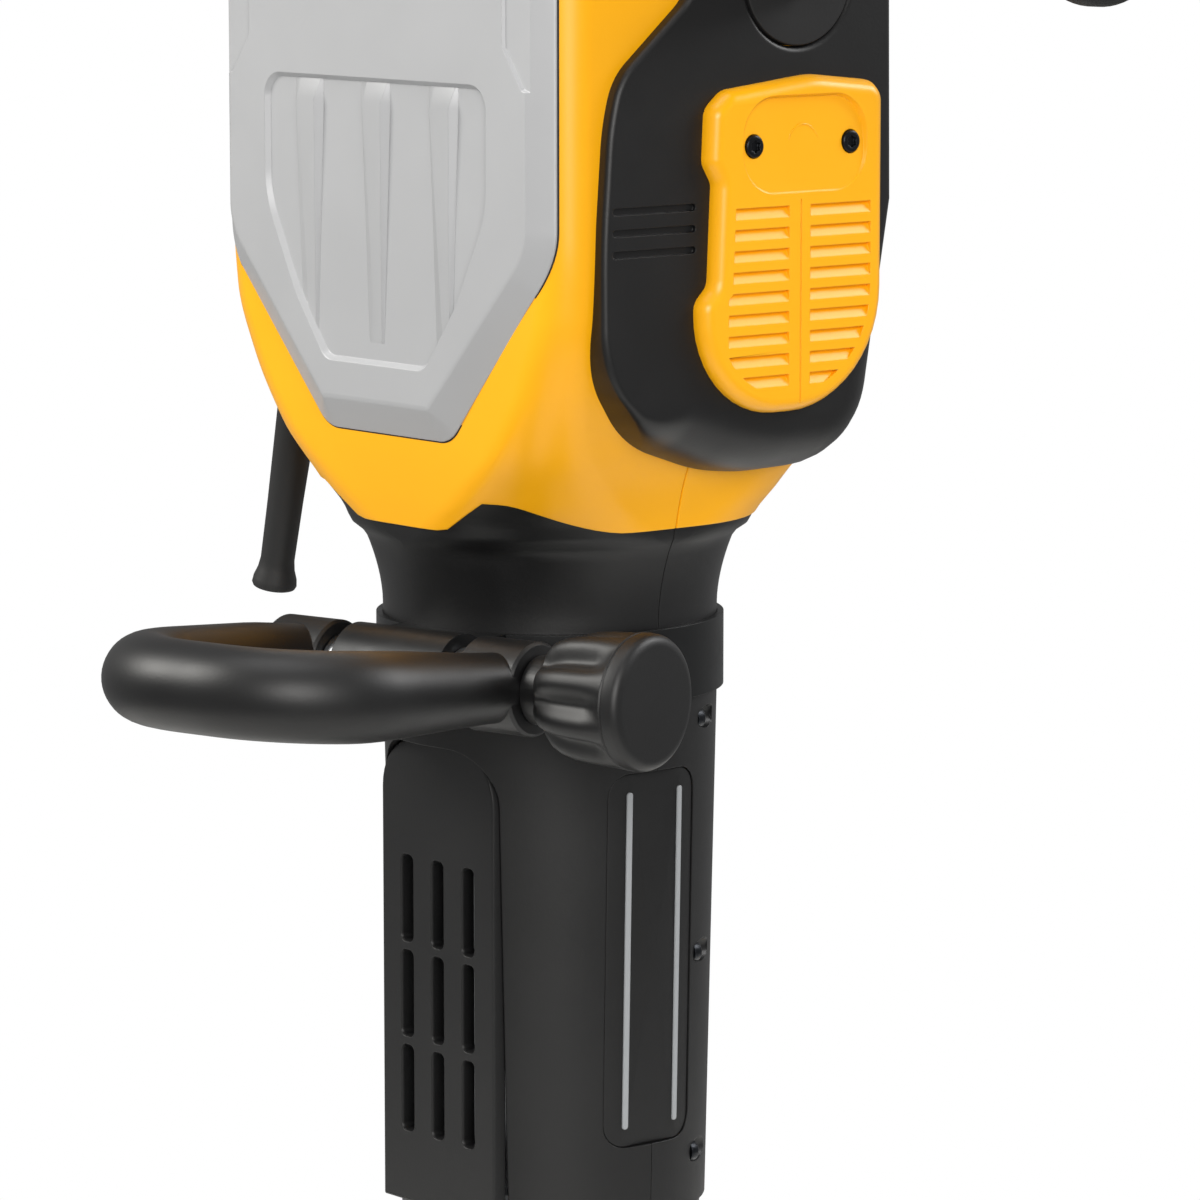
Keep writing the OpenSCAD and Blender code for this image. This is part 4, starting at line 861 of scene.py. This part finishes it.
class HAMMER_OT_side_panels(bpy.types.Operator):
    """Builds the black side panels with their bulging lower edge, arm hole and grooves"""
    bl_idname = "hammer.side_panels"
    bl_label = "Side panels"

    def execute(self, context):
        size = sizes("panel")
        face_x = WING_HIGH[0]
        hole_r = BOOT_R + 0.3
        turns = np.linspace(0, 2 * math.pi, 64, endpoint=False)
        hole = np.array([(BOOT_Y + hole_r * math.cos(t), BOOT_Z + hole_r * math.sin(t)) for t in turns])
        outline = rounded(WING[:, :2], WING[:, 2], 12)

        def base(p):
            return np.array([side_surface(y, z) - 1.2 for y, z in p])

        def roll(p):
            """Where the lower edge rolls in towards the housing instead of standing square to it."""
            return ramp(p[:, 0], -50, -22) * ramp(p[:, 1], 505, 462)

        def width(p):
            return size.fillet + (size.low_fillet - size.fillet) * roll(p)

        def depth(p):
            return size.fillet + (face_x - base(p) - 1 - size.fillet) * roll(p)

        levels = [(0.0, base)]
        for phi in np.linspace(0, math.pi / 2, 9):
            levels.append((
                (lambda p, f=phi: width(p) * (1 - math.cos(f))),
                (lambda p, f=phi: face_x - depth(p) * (1 - math.sin(f)))))
        for sign, side in ((1, "right"), (-1, "left")):
            piece = plate(side + "_panel", outline, [hole], levels, mirrored(sign))
            groove = plate("groove", round_box(-39, 0, 38, 2.6, 1.2, 4), [],
                           [(0, face_x - 1.6), (0, face_x + 2)], mirrored(sign))
            cut(piece, row("grooves", groove, size.grooves, (0, 0, 527), (0, 0, -size.louvre_pitch),
                           "black_plastic"))
            fit(smooth(piece, 34), "housing", "black_plastic", side + "_side_panel")
        return {"FINISHED"}


class HAMMER_OT_vent_covers(bpy.types.Operator):
    """Builds the yellow vent covers with their louvres, slats and screw pocket"""
    bl_idname = "hammer.vent_covers"
    bl_label = "Vent covers"

    def execute(self, context):
        size = sizes("panel")
        back, face = COVER_LOW[0], COVER_HIGH[0]
        outline = rounded(COVER[:, :2], COVER[:, 2], 12)
        field_edge = 7.5
        field_outline = rounded(inset(COVER[:, :2], field_edge), np.maximum(COVER[:, 2] - field_edge, 1), 12)
        first_z, seam_y, pocket_y, pocket_z, pocket_h = 524, 24.5, 26.5, 547.5, 35
        pocket = round_box(pocket_y, pocket_z, 59, pocket_h, 15, 10)

        def root(p):
            return back - 0.4 - 13 * ramp(p[:, 1], 510, 470)

        def pocket_floor(p):
            return face - 0.3 - (size.pocket_depth - 0.3) * np.clip(
                (p[:, 1] - pocket_z + pocket_h / 2) / pocket_h, 0, 1)

        levels = [(0, root), (0, back + 0.4), (0.3, back + 2.4), (1.6, face - 1.5), (3.0, face - 0.5),
                  (4.2, face - 0.1), (5.4, face)]
        for sign, side in ((1, "right"), (-1, "left")):
            place = mirrored(sign)
            skin = plate("skin", outline, [], levels, place)
            tools = [
                plate("pocket", pocket, [], [(0.8, pocket_floor), (-0.4, face + 0.6)], place),
                plate("seam", [(seam_y - 0.3, 450), (seam_y + 0.3, 450), (seam_y + 0.3, 528),
                               (seam_y - 0.3, 528)], [], [(0, face - 0.5), (0, face + 1)], place)]
            for box_low, box_high in islands("vent_cover_screws"):
                _, u, v = (box_low + box_high) / 2
                if box_low[0] * sign > 0:
                    tools.append(bar("hole", place(u, v, face - 5), place(u, v, face + 2), HEAD_ROOM_R))
            field = plate("field", field_outline, [], [(0, face - 4), (0, face + 2)], place)
            for start, end in ((-9.5, seam_y - 5.5), (seam_y + 4.5, 58.5)):
                louvre = self.louvre(start, end, face, size, place)
                tools.append(row("louvres", louvre, size.louvres, (0, 0, first_z), (0, 0, -size.louvre_pitch),
                                 "yellow_plastic"))
                cut(tools[-1], new_object("field", field.data.copy()), operation="INTERSECT")
            bpy.data.objects.remove(field)
            cut(skin, *tools)
            eased(skin, 0.25, angle=38)
            fit(smooth(skin, 34), "housing", "yellow_plastic", side + "_vent_cover")
            ring = lathe("ring", [(face - 1.9, 6.6), (face - 1.35, 6.8), (face - 1.35, 7.3), (face - 1.9, 7.5)],
                         along_x(pocket_y, pocket_z, sign), 48, hollow=True)
            ring.name = side + "_cover_ring"
            fit(smooth(ring), "housing", "yellow_plastic")
        return {"FINISHED"}

    def louvre(self, start, end, face, size, place):
        """Cutter of one louvre: deep under its upper edge, rising to the face at its lower edge."""
        half, deep = size.louvre_h / 2 + 0.3, 1.9
        section_line = [(half, -deep), (half, 1), (-half, 1), (-half, -0.05), (half - 0.7, -deep)]
        rings = [[place(u, v, face + h) for v, h in section_line] for u in (start, end)]
        return rings_solid("louvre", rings)


# ---------------------------------------------------------------- barrel

LABEL_Z = 248  # height of the middle of the label fields


def barrel_radius(z):
    """Radius of the turned barrel at a height, up to the neck."""
    low_r, r, neck = 58, 62, 71
    taper_end, flare_start, flare_end = STRAP_LOW[2] - 3, STRAP_HIGH[2] + 3, BARREL_HIGH[2]
    if z < taper_end:
        return low_r + (r - low_r) * (z - BARREL_LOW[2]) / (taper_end - BARREL_LOW[2])
    t = np.clip((z - flare_start) / (flare_end - flare_start), 0, 1)
    return r + (neck - r) * t ** 1.8


def on_barrel(sign):
    """Places a pad on the barrel's side: u round the barrel, v along it, height out of its skin."""
    def place(u, v, height):
        r = barrel_radius(v)
        return sign * (r + height) * math.cos(u / r), (r + height) * math.sin(u / r), v
    return place


class HAMMER_OT_barrel(bpy.types.Operator):
    """Builds the black barrel shells, the flat vent panel and the label fields"""
    bl_idname = "hammer.barrel"
    bl_label = "Barrel"

    def execute(self, context):
        size = sizes("barrel")
        low, high = BARREL_LOW[2], BARREL_HIGH[2]
        keys = [(z, r, r, r) for z in np.linspace(low, high - 6, 60) for r in [barrel_radius(z)]]
        for z in (high - 2, high + 4, high + 13, high + 18):
            a, b, r = eased_keys(z, SECTIONS)
            keys.append((z, a - 1.1, b - 1.1, r - 1.1))
        keys = np.array(keys)
        rows = 110
        panel_top, panel_half = 326, 33
        label = round_box(0, LABEL_Z, size.label_w, size.label_h, 9, 6)
        for sign, name in ((-1, "barrel_front_shell"), (1, "barrel_rear_shell")):
            heights = [(lambda x, z=z: z) for z in np.linspace(keys[-1][0], low, rows)]
            piece = half_shell(name + "_skin", heights, keys, sign, 0.3, size.wall, 0.4)
            tools = [pad("label", label, [(0, -1.2), (0, 6)], on_barrel(s)) for s in (-1, 1)]
            if sign < 0:
                window = round_box(0, (panel_top + low - 40) / 2, 2 * panel_half + 0.6,
                                   panel_top - low + 40.6, 20, 8)
                tools.append(plate("window", window, [], [(0, -80), (0, -40)], frontal))
            else:
                tools += head_sockets("barrel_screws", 4.3, reach=9)
            cut(piece, *tools)
            fit(smooth(piece, 40), "housing", "black_plastic", name)
        self.vent_panel(size, low, panel_top, panel_half)
        self.labels(size, label)
        return {"FINISHED"}

    def vent_panel(self, size, low, top, half):
        """The flat panel, its three columns of slots cut by a row of cutters in each column."""
        y = -size.flat_y
        outline = rounded([(-half, low), (half, low), (half, top), (-half, top)], [1, 1, 20, 20], 10)
        piece = plate("vent_panel", outline, [], [
            (0.3, y + 5.5), (0, y + 5), (0, y + 1.2), (0.35, y + 0.35), (1.2, y)], frontal)
        for x in (-18, 0, 18):
            slot = plate("slot", round_box(x, -size.slot_h / 2, size.slot_w, size.slot_h, 2.6, 4), [],
                         [(0.7, y + 12), (0.5, y + 1.2), (0, y + 0.4), (-0.4, y - 1)], frontal)
            column = row("slots", slot, 3, (0, 0, 282), (0, 0, -size.slot_h - 3), "black_plastic")
            cut(piece, column)
        fit(smooth(piece, 34), "housing", "black_plastic")

    def labels(self, size, label):
        plates, rails = [], []
        for s in (-1, 1):
            plates.append(pad("plate", inset(label, 0.3), [(0, -1.3), (0, -0.7), (0.4, -0.5)], on_barrel(s)))
            for u in (-12, 12):
                strip = round_box(u, LABEL_Z, 2.4, size.label_h - 14, 1, 3)
                rails.append(pad("rail", strip, [(0, -0.9), (0, 0.0), (0.3, 0.25)], on_barrel(s), 3))
        fit(smooth(join("label_fields", *plates)), "housing", "black_plastic", "label_plates")
        fit(smooth(join("label_rails", *rails)), "housing", "label_grey")


# ---------------------------------------------------------------- clamp and loop handle

def handle_place(tilted):
    """Maps the loop handle's own places into the frame: x along the bolt, -y away from the barrel."""
    size = sizes("handle")
    z = (STRAP_LOW[2] + STRAP_HIGH[2]) / 2
    turn = Matrix.Rotation(size.side_angle, 3, "Z")
    tilt = Matrix.Rotation(-size.loop_tilt if tilted else 0, 3, "X")
    reach = 85
    bolt = turn @ Vector((0, -reach, 0)) + Vector((0, 0, z))
    return lambda x, y, up: tuple(bolt + turn @ (tilt @ Vector((x, y, up))))


class HAMMER_OT_loop_handle(bpy.types.Operator):
    """Builds the loop handle, whose tube thins towards the knob, and its two sleeves"""
    bl_idname = "hammer.loop_handle"
    bl_label = "Loop handle"

    def execute(self, context):
        size = sizes("handle")
        place = handle_place(True)
        half, bend, leg = 46, 38, 77
        path = [(half, y, 0) for y in np.linspace(-3, -leg, 12)]
        turns = np.linspace(0, math.pi / 2, 14)[1:]
        path += [(half - bend + bend * math.cos(t), -leg - bend * math.sin(t), 0) for t in turns]
        path += [(x, -leg - bend, 0) for x in np.linspace(half - bend, bend - half, 5)[1:-1]]
        path += [(bend - half - bend * math.sin(t), -leg - bend * math.cos(t), 0) for t in [0, *turns]]
        path += [(-half, y, 0) for y in np.linspace(-leg, -3, 12)[1:]]
        path = np.array(path)
        run = np.concatenate([[0], np.cumsum(np.linalg.norm(np.diff(path, axis=0), axis=1))])
        swell = np.clip(run / 90, 0, 1)
        radii = size.loop_thin_r + (size.loop_r - size.loop_thin_r) * swell * swell * (3 - 2 * swell)
        near_end = np.clip((run[-1] - run) / 30, 0, 1)
        radii -= 1.5 * (1 - near_end)
        loop = sweep("loop", path, radii, place, sides=48)
        sleeves = []
        for x0, x1 in ((-57.4, -32), (32, 57.6)):
            profile = [(x0, 5.4), (x0, 16), (x0 + 1, 17), (x1 - 1, 17), (x1, 16), (x1, 5.4)]
            sleeves.append(lathe("sleeve", profile, place, 56, hollow=True))
        cut(loop, *sleeves, operation="UNION")
        cut(loop, lathe("bore", [(-70, 5.4), (70, 5.4)], place, 40))
        loop.name = "loop_handle"
        fit(smooth(eased(loop, 1.2, angle=35, segments=3), 40), "side_handle", "black_plastic", "side_handle")
        return {"FINISHED"}


class HAMMER_OT_knob(bpy.types.Operator):
    """Builds the fluted clamp knob"""
    bl_idname = "hammer.knob"
    bl_label = "Clamp knob"

    def execute(self, context):
        size = sizes("handle")
        start, r = 57.9, size.knob_r
        profile = [(0, 1), (0, 11.4), (0.8, 12.4), (7, 12.8), (8.5, 14.5), (10, 17.5), (13, 20.2), (17, 22),
                   (22, 23.2), (28, r - 1.2), (34, r - 0.9), (39, r - 0.7), (43.4, r - 0.6), (44, r - 1.1),
                   (44.6, r - 0.6), (48, r - 0.8), (49.6, r - 1.6), (50.6, r - 3), (51, r - 5), (51, 0.6)]
        profile = [(start + along, radius) for along, radius in profile]

        def wave(angle, along, radius):
            reach = ramp(along, start + 7, start + 14) * ramp(along, start + 43.4, start + 37)
            flute = (0.5 + 0.5 * math.cos(size.flutes * angle)) ** 1.4
            return radius - size.flute_depth * flute * reach

        place = handle_place(False)
        piece = lathe("knob_body", profile, place, 192, wave=wave)
        cut(piece, lathe("bore", [(start - 5, 5.3), (start + 42, 5.3)], place, 40))
        fit(smooth(piece, 40), "clamp_knob", "black_plastic", "clamp_knob")
        return {"FINISHED"}


# ---------------------------------------------------------------- main handles

def grip_axis():
    return (GRIP_LOW[1] + GRIP_HIGH[1]) / 2, (GRIP_LOW[2] + GRIP_HIGH[2]) / 2


class HAMMER_OT_arms(bpy.types.Operator):
    """Builds the smooth handle arms and the rubber boots at their roots"""
    bl_idname = "hammer.arms"
    bl_label = "Handle arms"

    def execute(self, context):
        y, z = BOOT_Y, BOOT_Z
        grip_y, grip_z = grip_axis()
        start = GRIP_LOW[0]
        root_z, root_r = z + 5, 12
        keys = [(88, y, root_z), (100, y, root_z), (112, y, root_z + 2), (124, y - 2, z + 13.5),
                (138, y - 6, z + 23.5), (150, grip_y + 0.4, z + 28.8), (start - 0.2, grip_y, grip_z)]
        widths = [(r, 0, 0) for r in (11.6, root_r, 13.2, 15.8, 18.6, 20.4, 21)]
        for sign, side in ((1, "right"), (-1, "left")):
            path = through(keys)
            piece = sweep(side + "_arm", path, through(widths)[:, 0], lambda a, b, c: (sign * a, b, c),
                          up=(0, 1, 0))
            fit(smooth(eased(piece, 0.8, 50)), side + "_handle", "black_plastic", side + "_handle_arm")
        face = WING_HIGH[0]
        boots = []
        for sign in (1, -1):
            profile = [(face - 5, 0.5), (face - 5, BOOT_R), (face - 0.2, BOOT_R), (face + 0.2, BOOT_R - 0.5),
                       (face + 0.2, root_r + 4), (face + 0.5, root_r + 2), (face + 0.5, 0.5)]
            hole = bar("hole", (sign * (face - 9), y, root_z), (sign * (face + 4), y, root_z + 0.4),
                       root_r + 0.5, 48)
            boots.append(cut(lathe("boot", profile, along_x(y, z, sign), 64), hole))
        fit(smooth(join("boots", *boots), 60), "housing", "black_rubber", "handle_boots")
        return {"FINISHED"}


class HAMMER_OT_grips(bpy.types.Operator):
    """Builds the ribbed grips with their end guards, the trigger and the lock button"""
    bl_idname = "hammer.grips"
    bl_label = "Grips"

    def execute(self, context):
        size = sizes("handle")
        y, z = grip_axis()
        start, end, guard_r = GRIP_LOW[0], GRIP_HIGH[0], (GRIP_HIGH[2] - GRIP_LOW[2]) / 2
        r = size.grip_r
        profile = [(start + 0.3, 0.5), (start + 0.3, r - 1.2), (start + 0.8, r - 0.3), (start + 1.8, r)]
        profile += [(x, r) for x in np.linspace(start + 8, end - 32, 12)]
        profile += [(end - 26, r + 0.5), (end - 21, r + 2.6), (end - 17, r + 6.5), (end - 13.5, r + 12),
                    (end - 11.5, guard_r - 1), (end - 9.5, guard_r), (end - 5, guard_r), (end - 2.4, guard_r - 1),
                    (end - 0.6, guard_r - 3.6), (end, guard_r - 7), (end, 0.5)]
        for sign, side in ((1, "right"), (-1, "left")):
            place = along_x(y, z, sign)
            body = lathe("grip", profile, place, 72)
            rib = lathe("rib", [(-1.7, r - 1), (-1.5, r + 0.2), (-0.8, r + 0.9), (0.8, r + 0.9), (1.5, r + 0.2),
                                (1.7, r - 1)], along_x(y, z, sign), 72, hollow=True)
            ribs = row("ribs", rib, size.grip_ribs, (sign * (start + 12), 0, 0), (sign * size.rib_pitch, 0, 0),
                       "soft_grip")
            if sign < 0:
                for target in (body, ribs):
                    cut(target, *self.clearances())
            piece = join(side + "_grip_sleeve", body, ribs)
            fit(smooth(piece, 40), side + "_handle", "soft_grip", side + "_grip")
        self.trigger()
        return {"FINISHED"}

    def clearances(self):
        """Cutters that leave room for the trigger and the lock button."""
        low, high = span("trigger")
        room = 0.8
        box = round_box((low[0] + high[0]) / 2, (low[2] + high[2]) / 2 + 3, high[0] - low[0] + 2 * room,
                        high[2] - low[2] + 6 + 2 * room, 2)
        slot = plate("slot", box, [], [(0, high[1] + room), (0, low[1] - room)], frontal)
        low, high = span("lock_button")
        x, _, z = middle("lock_button")
        hole = bar("hole", (x, low[1] - 2, z), (x, high[1] + 4, z), (high[0] - low[0]) / 2 + 0.3, 40)
        return [slot, hole]

    def trigger(self):
        low, high = span("trigger")
        outline = rounded([
            (low[0], high[2]), (low[0], low[2] + 4.5), (low[0] + 8, low[2]), (high[0] - 10, low[2]),
            (high[0], low[2] + 3), (high[0], high[2])], [1, 3, 8, 8, 3, 1], 6)
        lever = plate("trigger_lever", outline, [], [
            (2.0, high[1]), (0.6, high[1] - 0.6), (0, high[1] - 2.2), (0, low[1] + 2.2), (0.6, low[1] + 0.6),
            (2.0, low[1])], frontal)
        fit(smooth(lever, 40), "trigger", "red_plastic", "trigger")
        low, high = span("lock_button")
        (x, _, z), r = middle("lock_button"), (high[0] - low[0]) / 2
        profile = [(high[1], r), (low[1] + 1.2, r), (low[1] + 0.3, r - 0.4), (low[1], r - 1.4),
                   (low[1] + 0.4, 0.4)]
        button = lathe("lock_button_cap", profile, lambda a, c, u: (x + c, a, z + u), 48)
        fit(smooth(button, 40), "lock_button", "red_plastic", "lock_button")


# ---------------------------------------------------------------- cord guard and fasteners

class HAMMER_OT_cord_guard(bpy.types.Operator):
    """Builds the tapered cord guard with its flared mouth"""
    bl_idname = "hammer.cord_guard"
    bl_label = "Cord guard"

    def execute(self, context):
        lean = math.radians(13)
        root = Vector((-100, (GUARD_LOW[1] + GUARD_HIGH[1]) / 2, 446))
        turn = Matrix.Rotation(lean + math.pi, 3, "Y")
        place = lambda along, across, up: tuple(root + turn @ Vector((across, up, along)))
        bore, length = 5.2, 78
        profile = [(-15, bore), (-15, 10.4), (-1, 10.9), (0, 10.4), (0.8, 8.2)]
        profile += [(8, 7.7), (24, 7.3), (44, 6.8), (length - 11, 6.5), (length - 7, 7.1), (length - 3.5, 8.3),
                    (length - 1, 8.6), (length, 8.1), (length, 7.3), (length - 6, bore), (10, bore)]
        piece = lathe("cord_guard_sleeve", profile, place, 56, hollow=True)
        fit(smooth(piece, 40), "housing", "black_rubber", "cord_guard")
        return {"FINISHED"}


def screw_head(radius, height, star_r):
    """Pan head with a six-lobed socket, its top at the origin and its axis along Z."""

    def wave(angle, along, r):
        return r + 0.13 * r * math.cos(6 * angle) if r <= star_r * 1.01 else r

    profile = [(-height, radius), (-0.5, radius), (-0.15, radius - 0.25), (0, radius - 0.8), (0, star_r + 0.25),
               (-0.12, star_r), (-height * 0.6, star_r * 0.9), (-height * 0.6, 0.2)]
    return lathe("head", profile, lambda a, c, u: (c, u, a), 48, wave=wave)


class HAMMER_OT_fasteners(bpy.types.Operator):
    """Builds the screw and bolt heads on their places"""
    bl_idname = "hammer.fasteners"
    bl_label = "Fasteners"

    def execute(self, context):
        groups = {
            "housing_screws": ("black_screws", (0, 1, 0)), "top_cap_screws": ("black_screws", (0, 0, 1)),
            "barrel_screws": ("black_screws", (0, 1, 0)), "vent_cover_screws": ("black_screws", None),
            "nose_bolts": ("zinc_steel", (0, 0, -1))}
        for node, (slot, aim) in groups.items():
            spots = []
            for low, high in islands(node):
                place = (low + high) / 2
                facing = np.array(aim if aim else (math.copysign(1, place[0]), 0, 0), float)
                axis = int(np.argmax(np.abs(facing)))
                across = [k for k in range(3) if k != axis]
                radius = (high[across[0]] - low[across[0]]) / 2
                place[axis] = high[axis] if facing[axis] > 0 else low[axis]
                spots.append((place, facing))
            head = screw_head(radius, 3.5 if node != "vent_cover_screws" else 2, radius * 0.52)
            smooth(head, 40, weighted=False)
            piece = on_points(node + "_heads", head, spots, 1.0, slot)
            fit(piece, "housing", slot, node)
        return {"FINISHED"}


# ---------------------------------------------------------------- stage

class HAMMER_OT_stage(bpy.types.Operator):
    """Sets the pale floor, the soft lights and the camera"""
    bl_idname = "hammer.stage"
    bl_label = "Stage"

    def execute(self, context):
        scene = context.scene
        low = CAD_BOX[0][2] / MM
        disc = [(680 * math.cos(t), 680 * math.sin(t), low) for t in np.linspace(0, 2 * math.pi, 96, False)]
        floor = solid("floor", disc, [tuple(range(96))], closed=False)
        # Matt painted board: off-white with a faint roller texture
        floor.data.materials.append(surface("painted_board", lin("#E6E6E4"), 0.8, shade=0.015, cloud_mm=400))
        floor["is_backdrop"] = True
        self.world(scene)
        self.light("key", (-1.5, -1.9, 2.0), 1.5, 76, "#FFFDF8")
        self.light("fill", (2.0, -1.3, 1.2), 1.4, 46, "#FFFDFA")
        self.light("rim", (0.9, 2.0, 1.7), 1.2, 30, "#FFFFFF")
        self.light("top", (0.0, -0.2, 2.3), 1.4, 12, "#FFFFFF")
        self.camera(scene)
        scene.view_settings.view_transform = "Standard"
        return {"FINISHED"}

    def world(self, scene):
        """White surroundings, whose own light on the object is softer than they look."""
        world = bpy.data.worlds.new("studio")
        scene.world = world
        world.use_nodes = True
        tree = world.node_tree
        tree.nodes.clear()
        seen = add(tree, "ShaderNodeLightPath")
        strength = add(tree, "ShaderNodeMapRange", {
            "Value": seen.outputs["Is Camera Ray"], "To Min": 0.3, "To Max": 1.0})
        back = add(tree, "ShaderNodeBackground", {
            "Color": lin("#FFFFFF"), "Strength": strength.outputs["Result"]})
        add(tree, "ShaderNodeOutputWorld", {"Surface": back.outputs["Background"]})

    def light(self, name, place, size, power, code):
        data = bpy.data.lights.new(name, "AREA")
        data.shape = "DISK"
        data.size = size
        data.energy = power
        data.color = lin(code)[:3]
        lamp = new_object(name, data)
        lamp.location = place
        aim = Vector((0, 0, 0.42)) - Vector(place)
        lamp.rotation_euler = aim.to_track_quat("-Z", "Y").to_euler()

    def camera(self, scene):
        turn, pitch, distance = math.radians(50), math.radians(8.4), 2.082
        right = Vector((math.cos(turn), math.sin(turn), 0))
        level = Vector((-math.sin(turn), math.cos(turn), 0))
        forward = level * math.cos(pitch) - Vector((0, 0, math.sin(pitch)))
        up = right.cross(forward)
        strap_z = (STRAP_LOW[2] + STRAP_HIGH[2]) / 2 * MM
        data = bpy.data.cameras.new("camera")
        data.lens, data.sensor_width = 168, 36
        data.clip_end = 50
        view = new_object("camera", data)
        place = Vector((0, 0, strap_z)) - forward * distance + right * 0.01859 + up * 0.01673
        view.matrix_world = Matrix.Translation(place) @ Matrix((right, up, -forward)).transposed().to_4x4()
        scene.camera = view


# ---------------------------------------------------------------- panel and registration

GROUPS = {"housing": HousingSizes, "panel": PanelSizes, "barrel": BarrelSizes, "handle": HandleSizes,
          "colours": FinishColours}
BUILDERS = [HAMMER_OT_housing, HAMMER_OT_front_plate, HAMMER_OT_top_cap, HAMMER_OT_side_panels,
            HAMMER_OT_vent_covers, HAMMER_OT_barrel, HAMMER_OT_loop_handle, HAMMER_OT_knob, HAMMER_OT_arms,
            HAMMER_OT_grips, HAMMER_OT_cord_guard, HAMMER_OT_fasteners, HAMMER_OT_stage]


class HAMMER_PT_panel(bpy.types.Panel):
    """Lists the hammer's builders and sizes"""
    bl_idname = "HAMMER_PT_panel"
    bl_label = "Demolition Hammer"
    bl_space_type = "VIEW_3D"
    bl_region_type = "UI"
    bl_category = "Hammer"

    def draw(self, context):
        for builder in BUILDERS:
            self.layout.operator(builder.bl_idname)
        for name, group in GROUPS.items():
            box = self.layout.box()
            for prop in group.__annotations__:
                box.prop(getattr(context.scene, "hammer_" + name), prop)


def register():
    for group in GROUPS.values():
        bpy.utils.register_class(group)
    for builder in BUILDERS:
        bpy.utils.register_class(builder)
    bpy.utils.register_class(HAMMER_PT_panel)
    for name, group in GROUPS.items():
        setattr(bpy.types.Scene, "hammer_" + name, bpy.props.PointerProperty(type=group))


def unregister():
    for name in GROUPS:
        delattr(bpy.types.Scene, "hammer_" + name)
    bpy.utils.unregister_class(HAMMER_PT_panel)
    for builder in reversed(BUILDERS):
        bpy.utils.unregister_class(builder)
    for group in reversed(list(GROUPS.values())):
        bpy.utils.unregister_class(group)


def main():
    register()
    paint_frame()
    for builder in BUILDERS:
        getattr(bpy.ops.hammer, builder.bl_idname.split(".")[1])()
    boxes = {"cad": CAD_BOX, "visual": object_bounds()}
    {name: [list(corner) for corner in box] for name, box in boxes.items()}


if __name__ == "__main__":
    main()
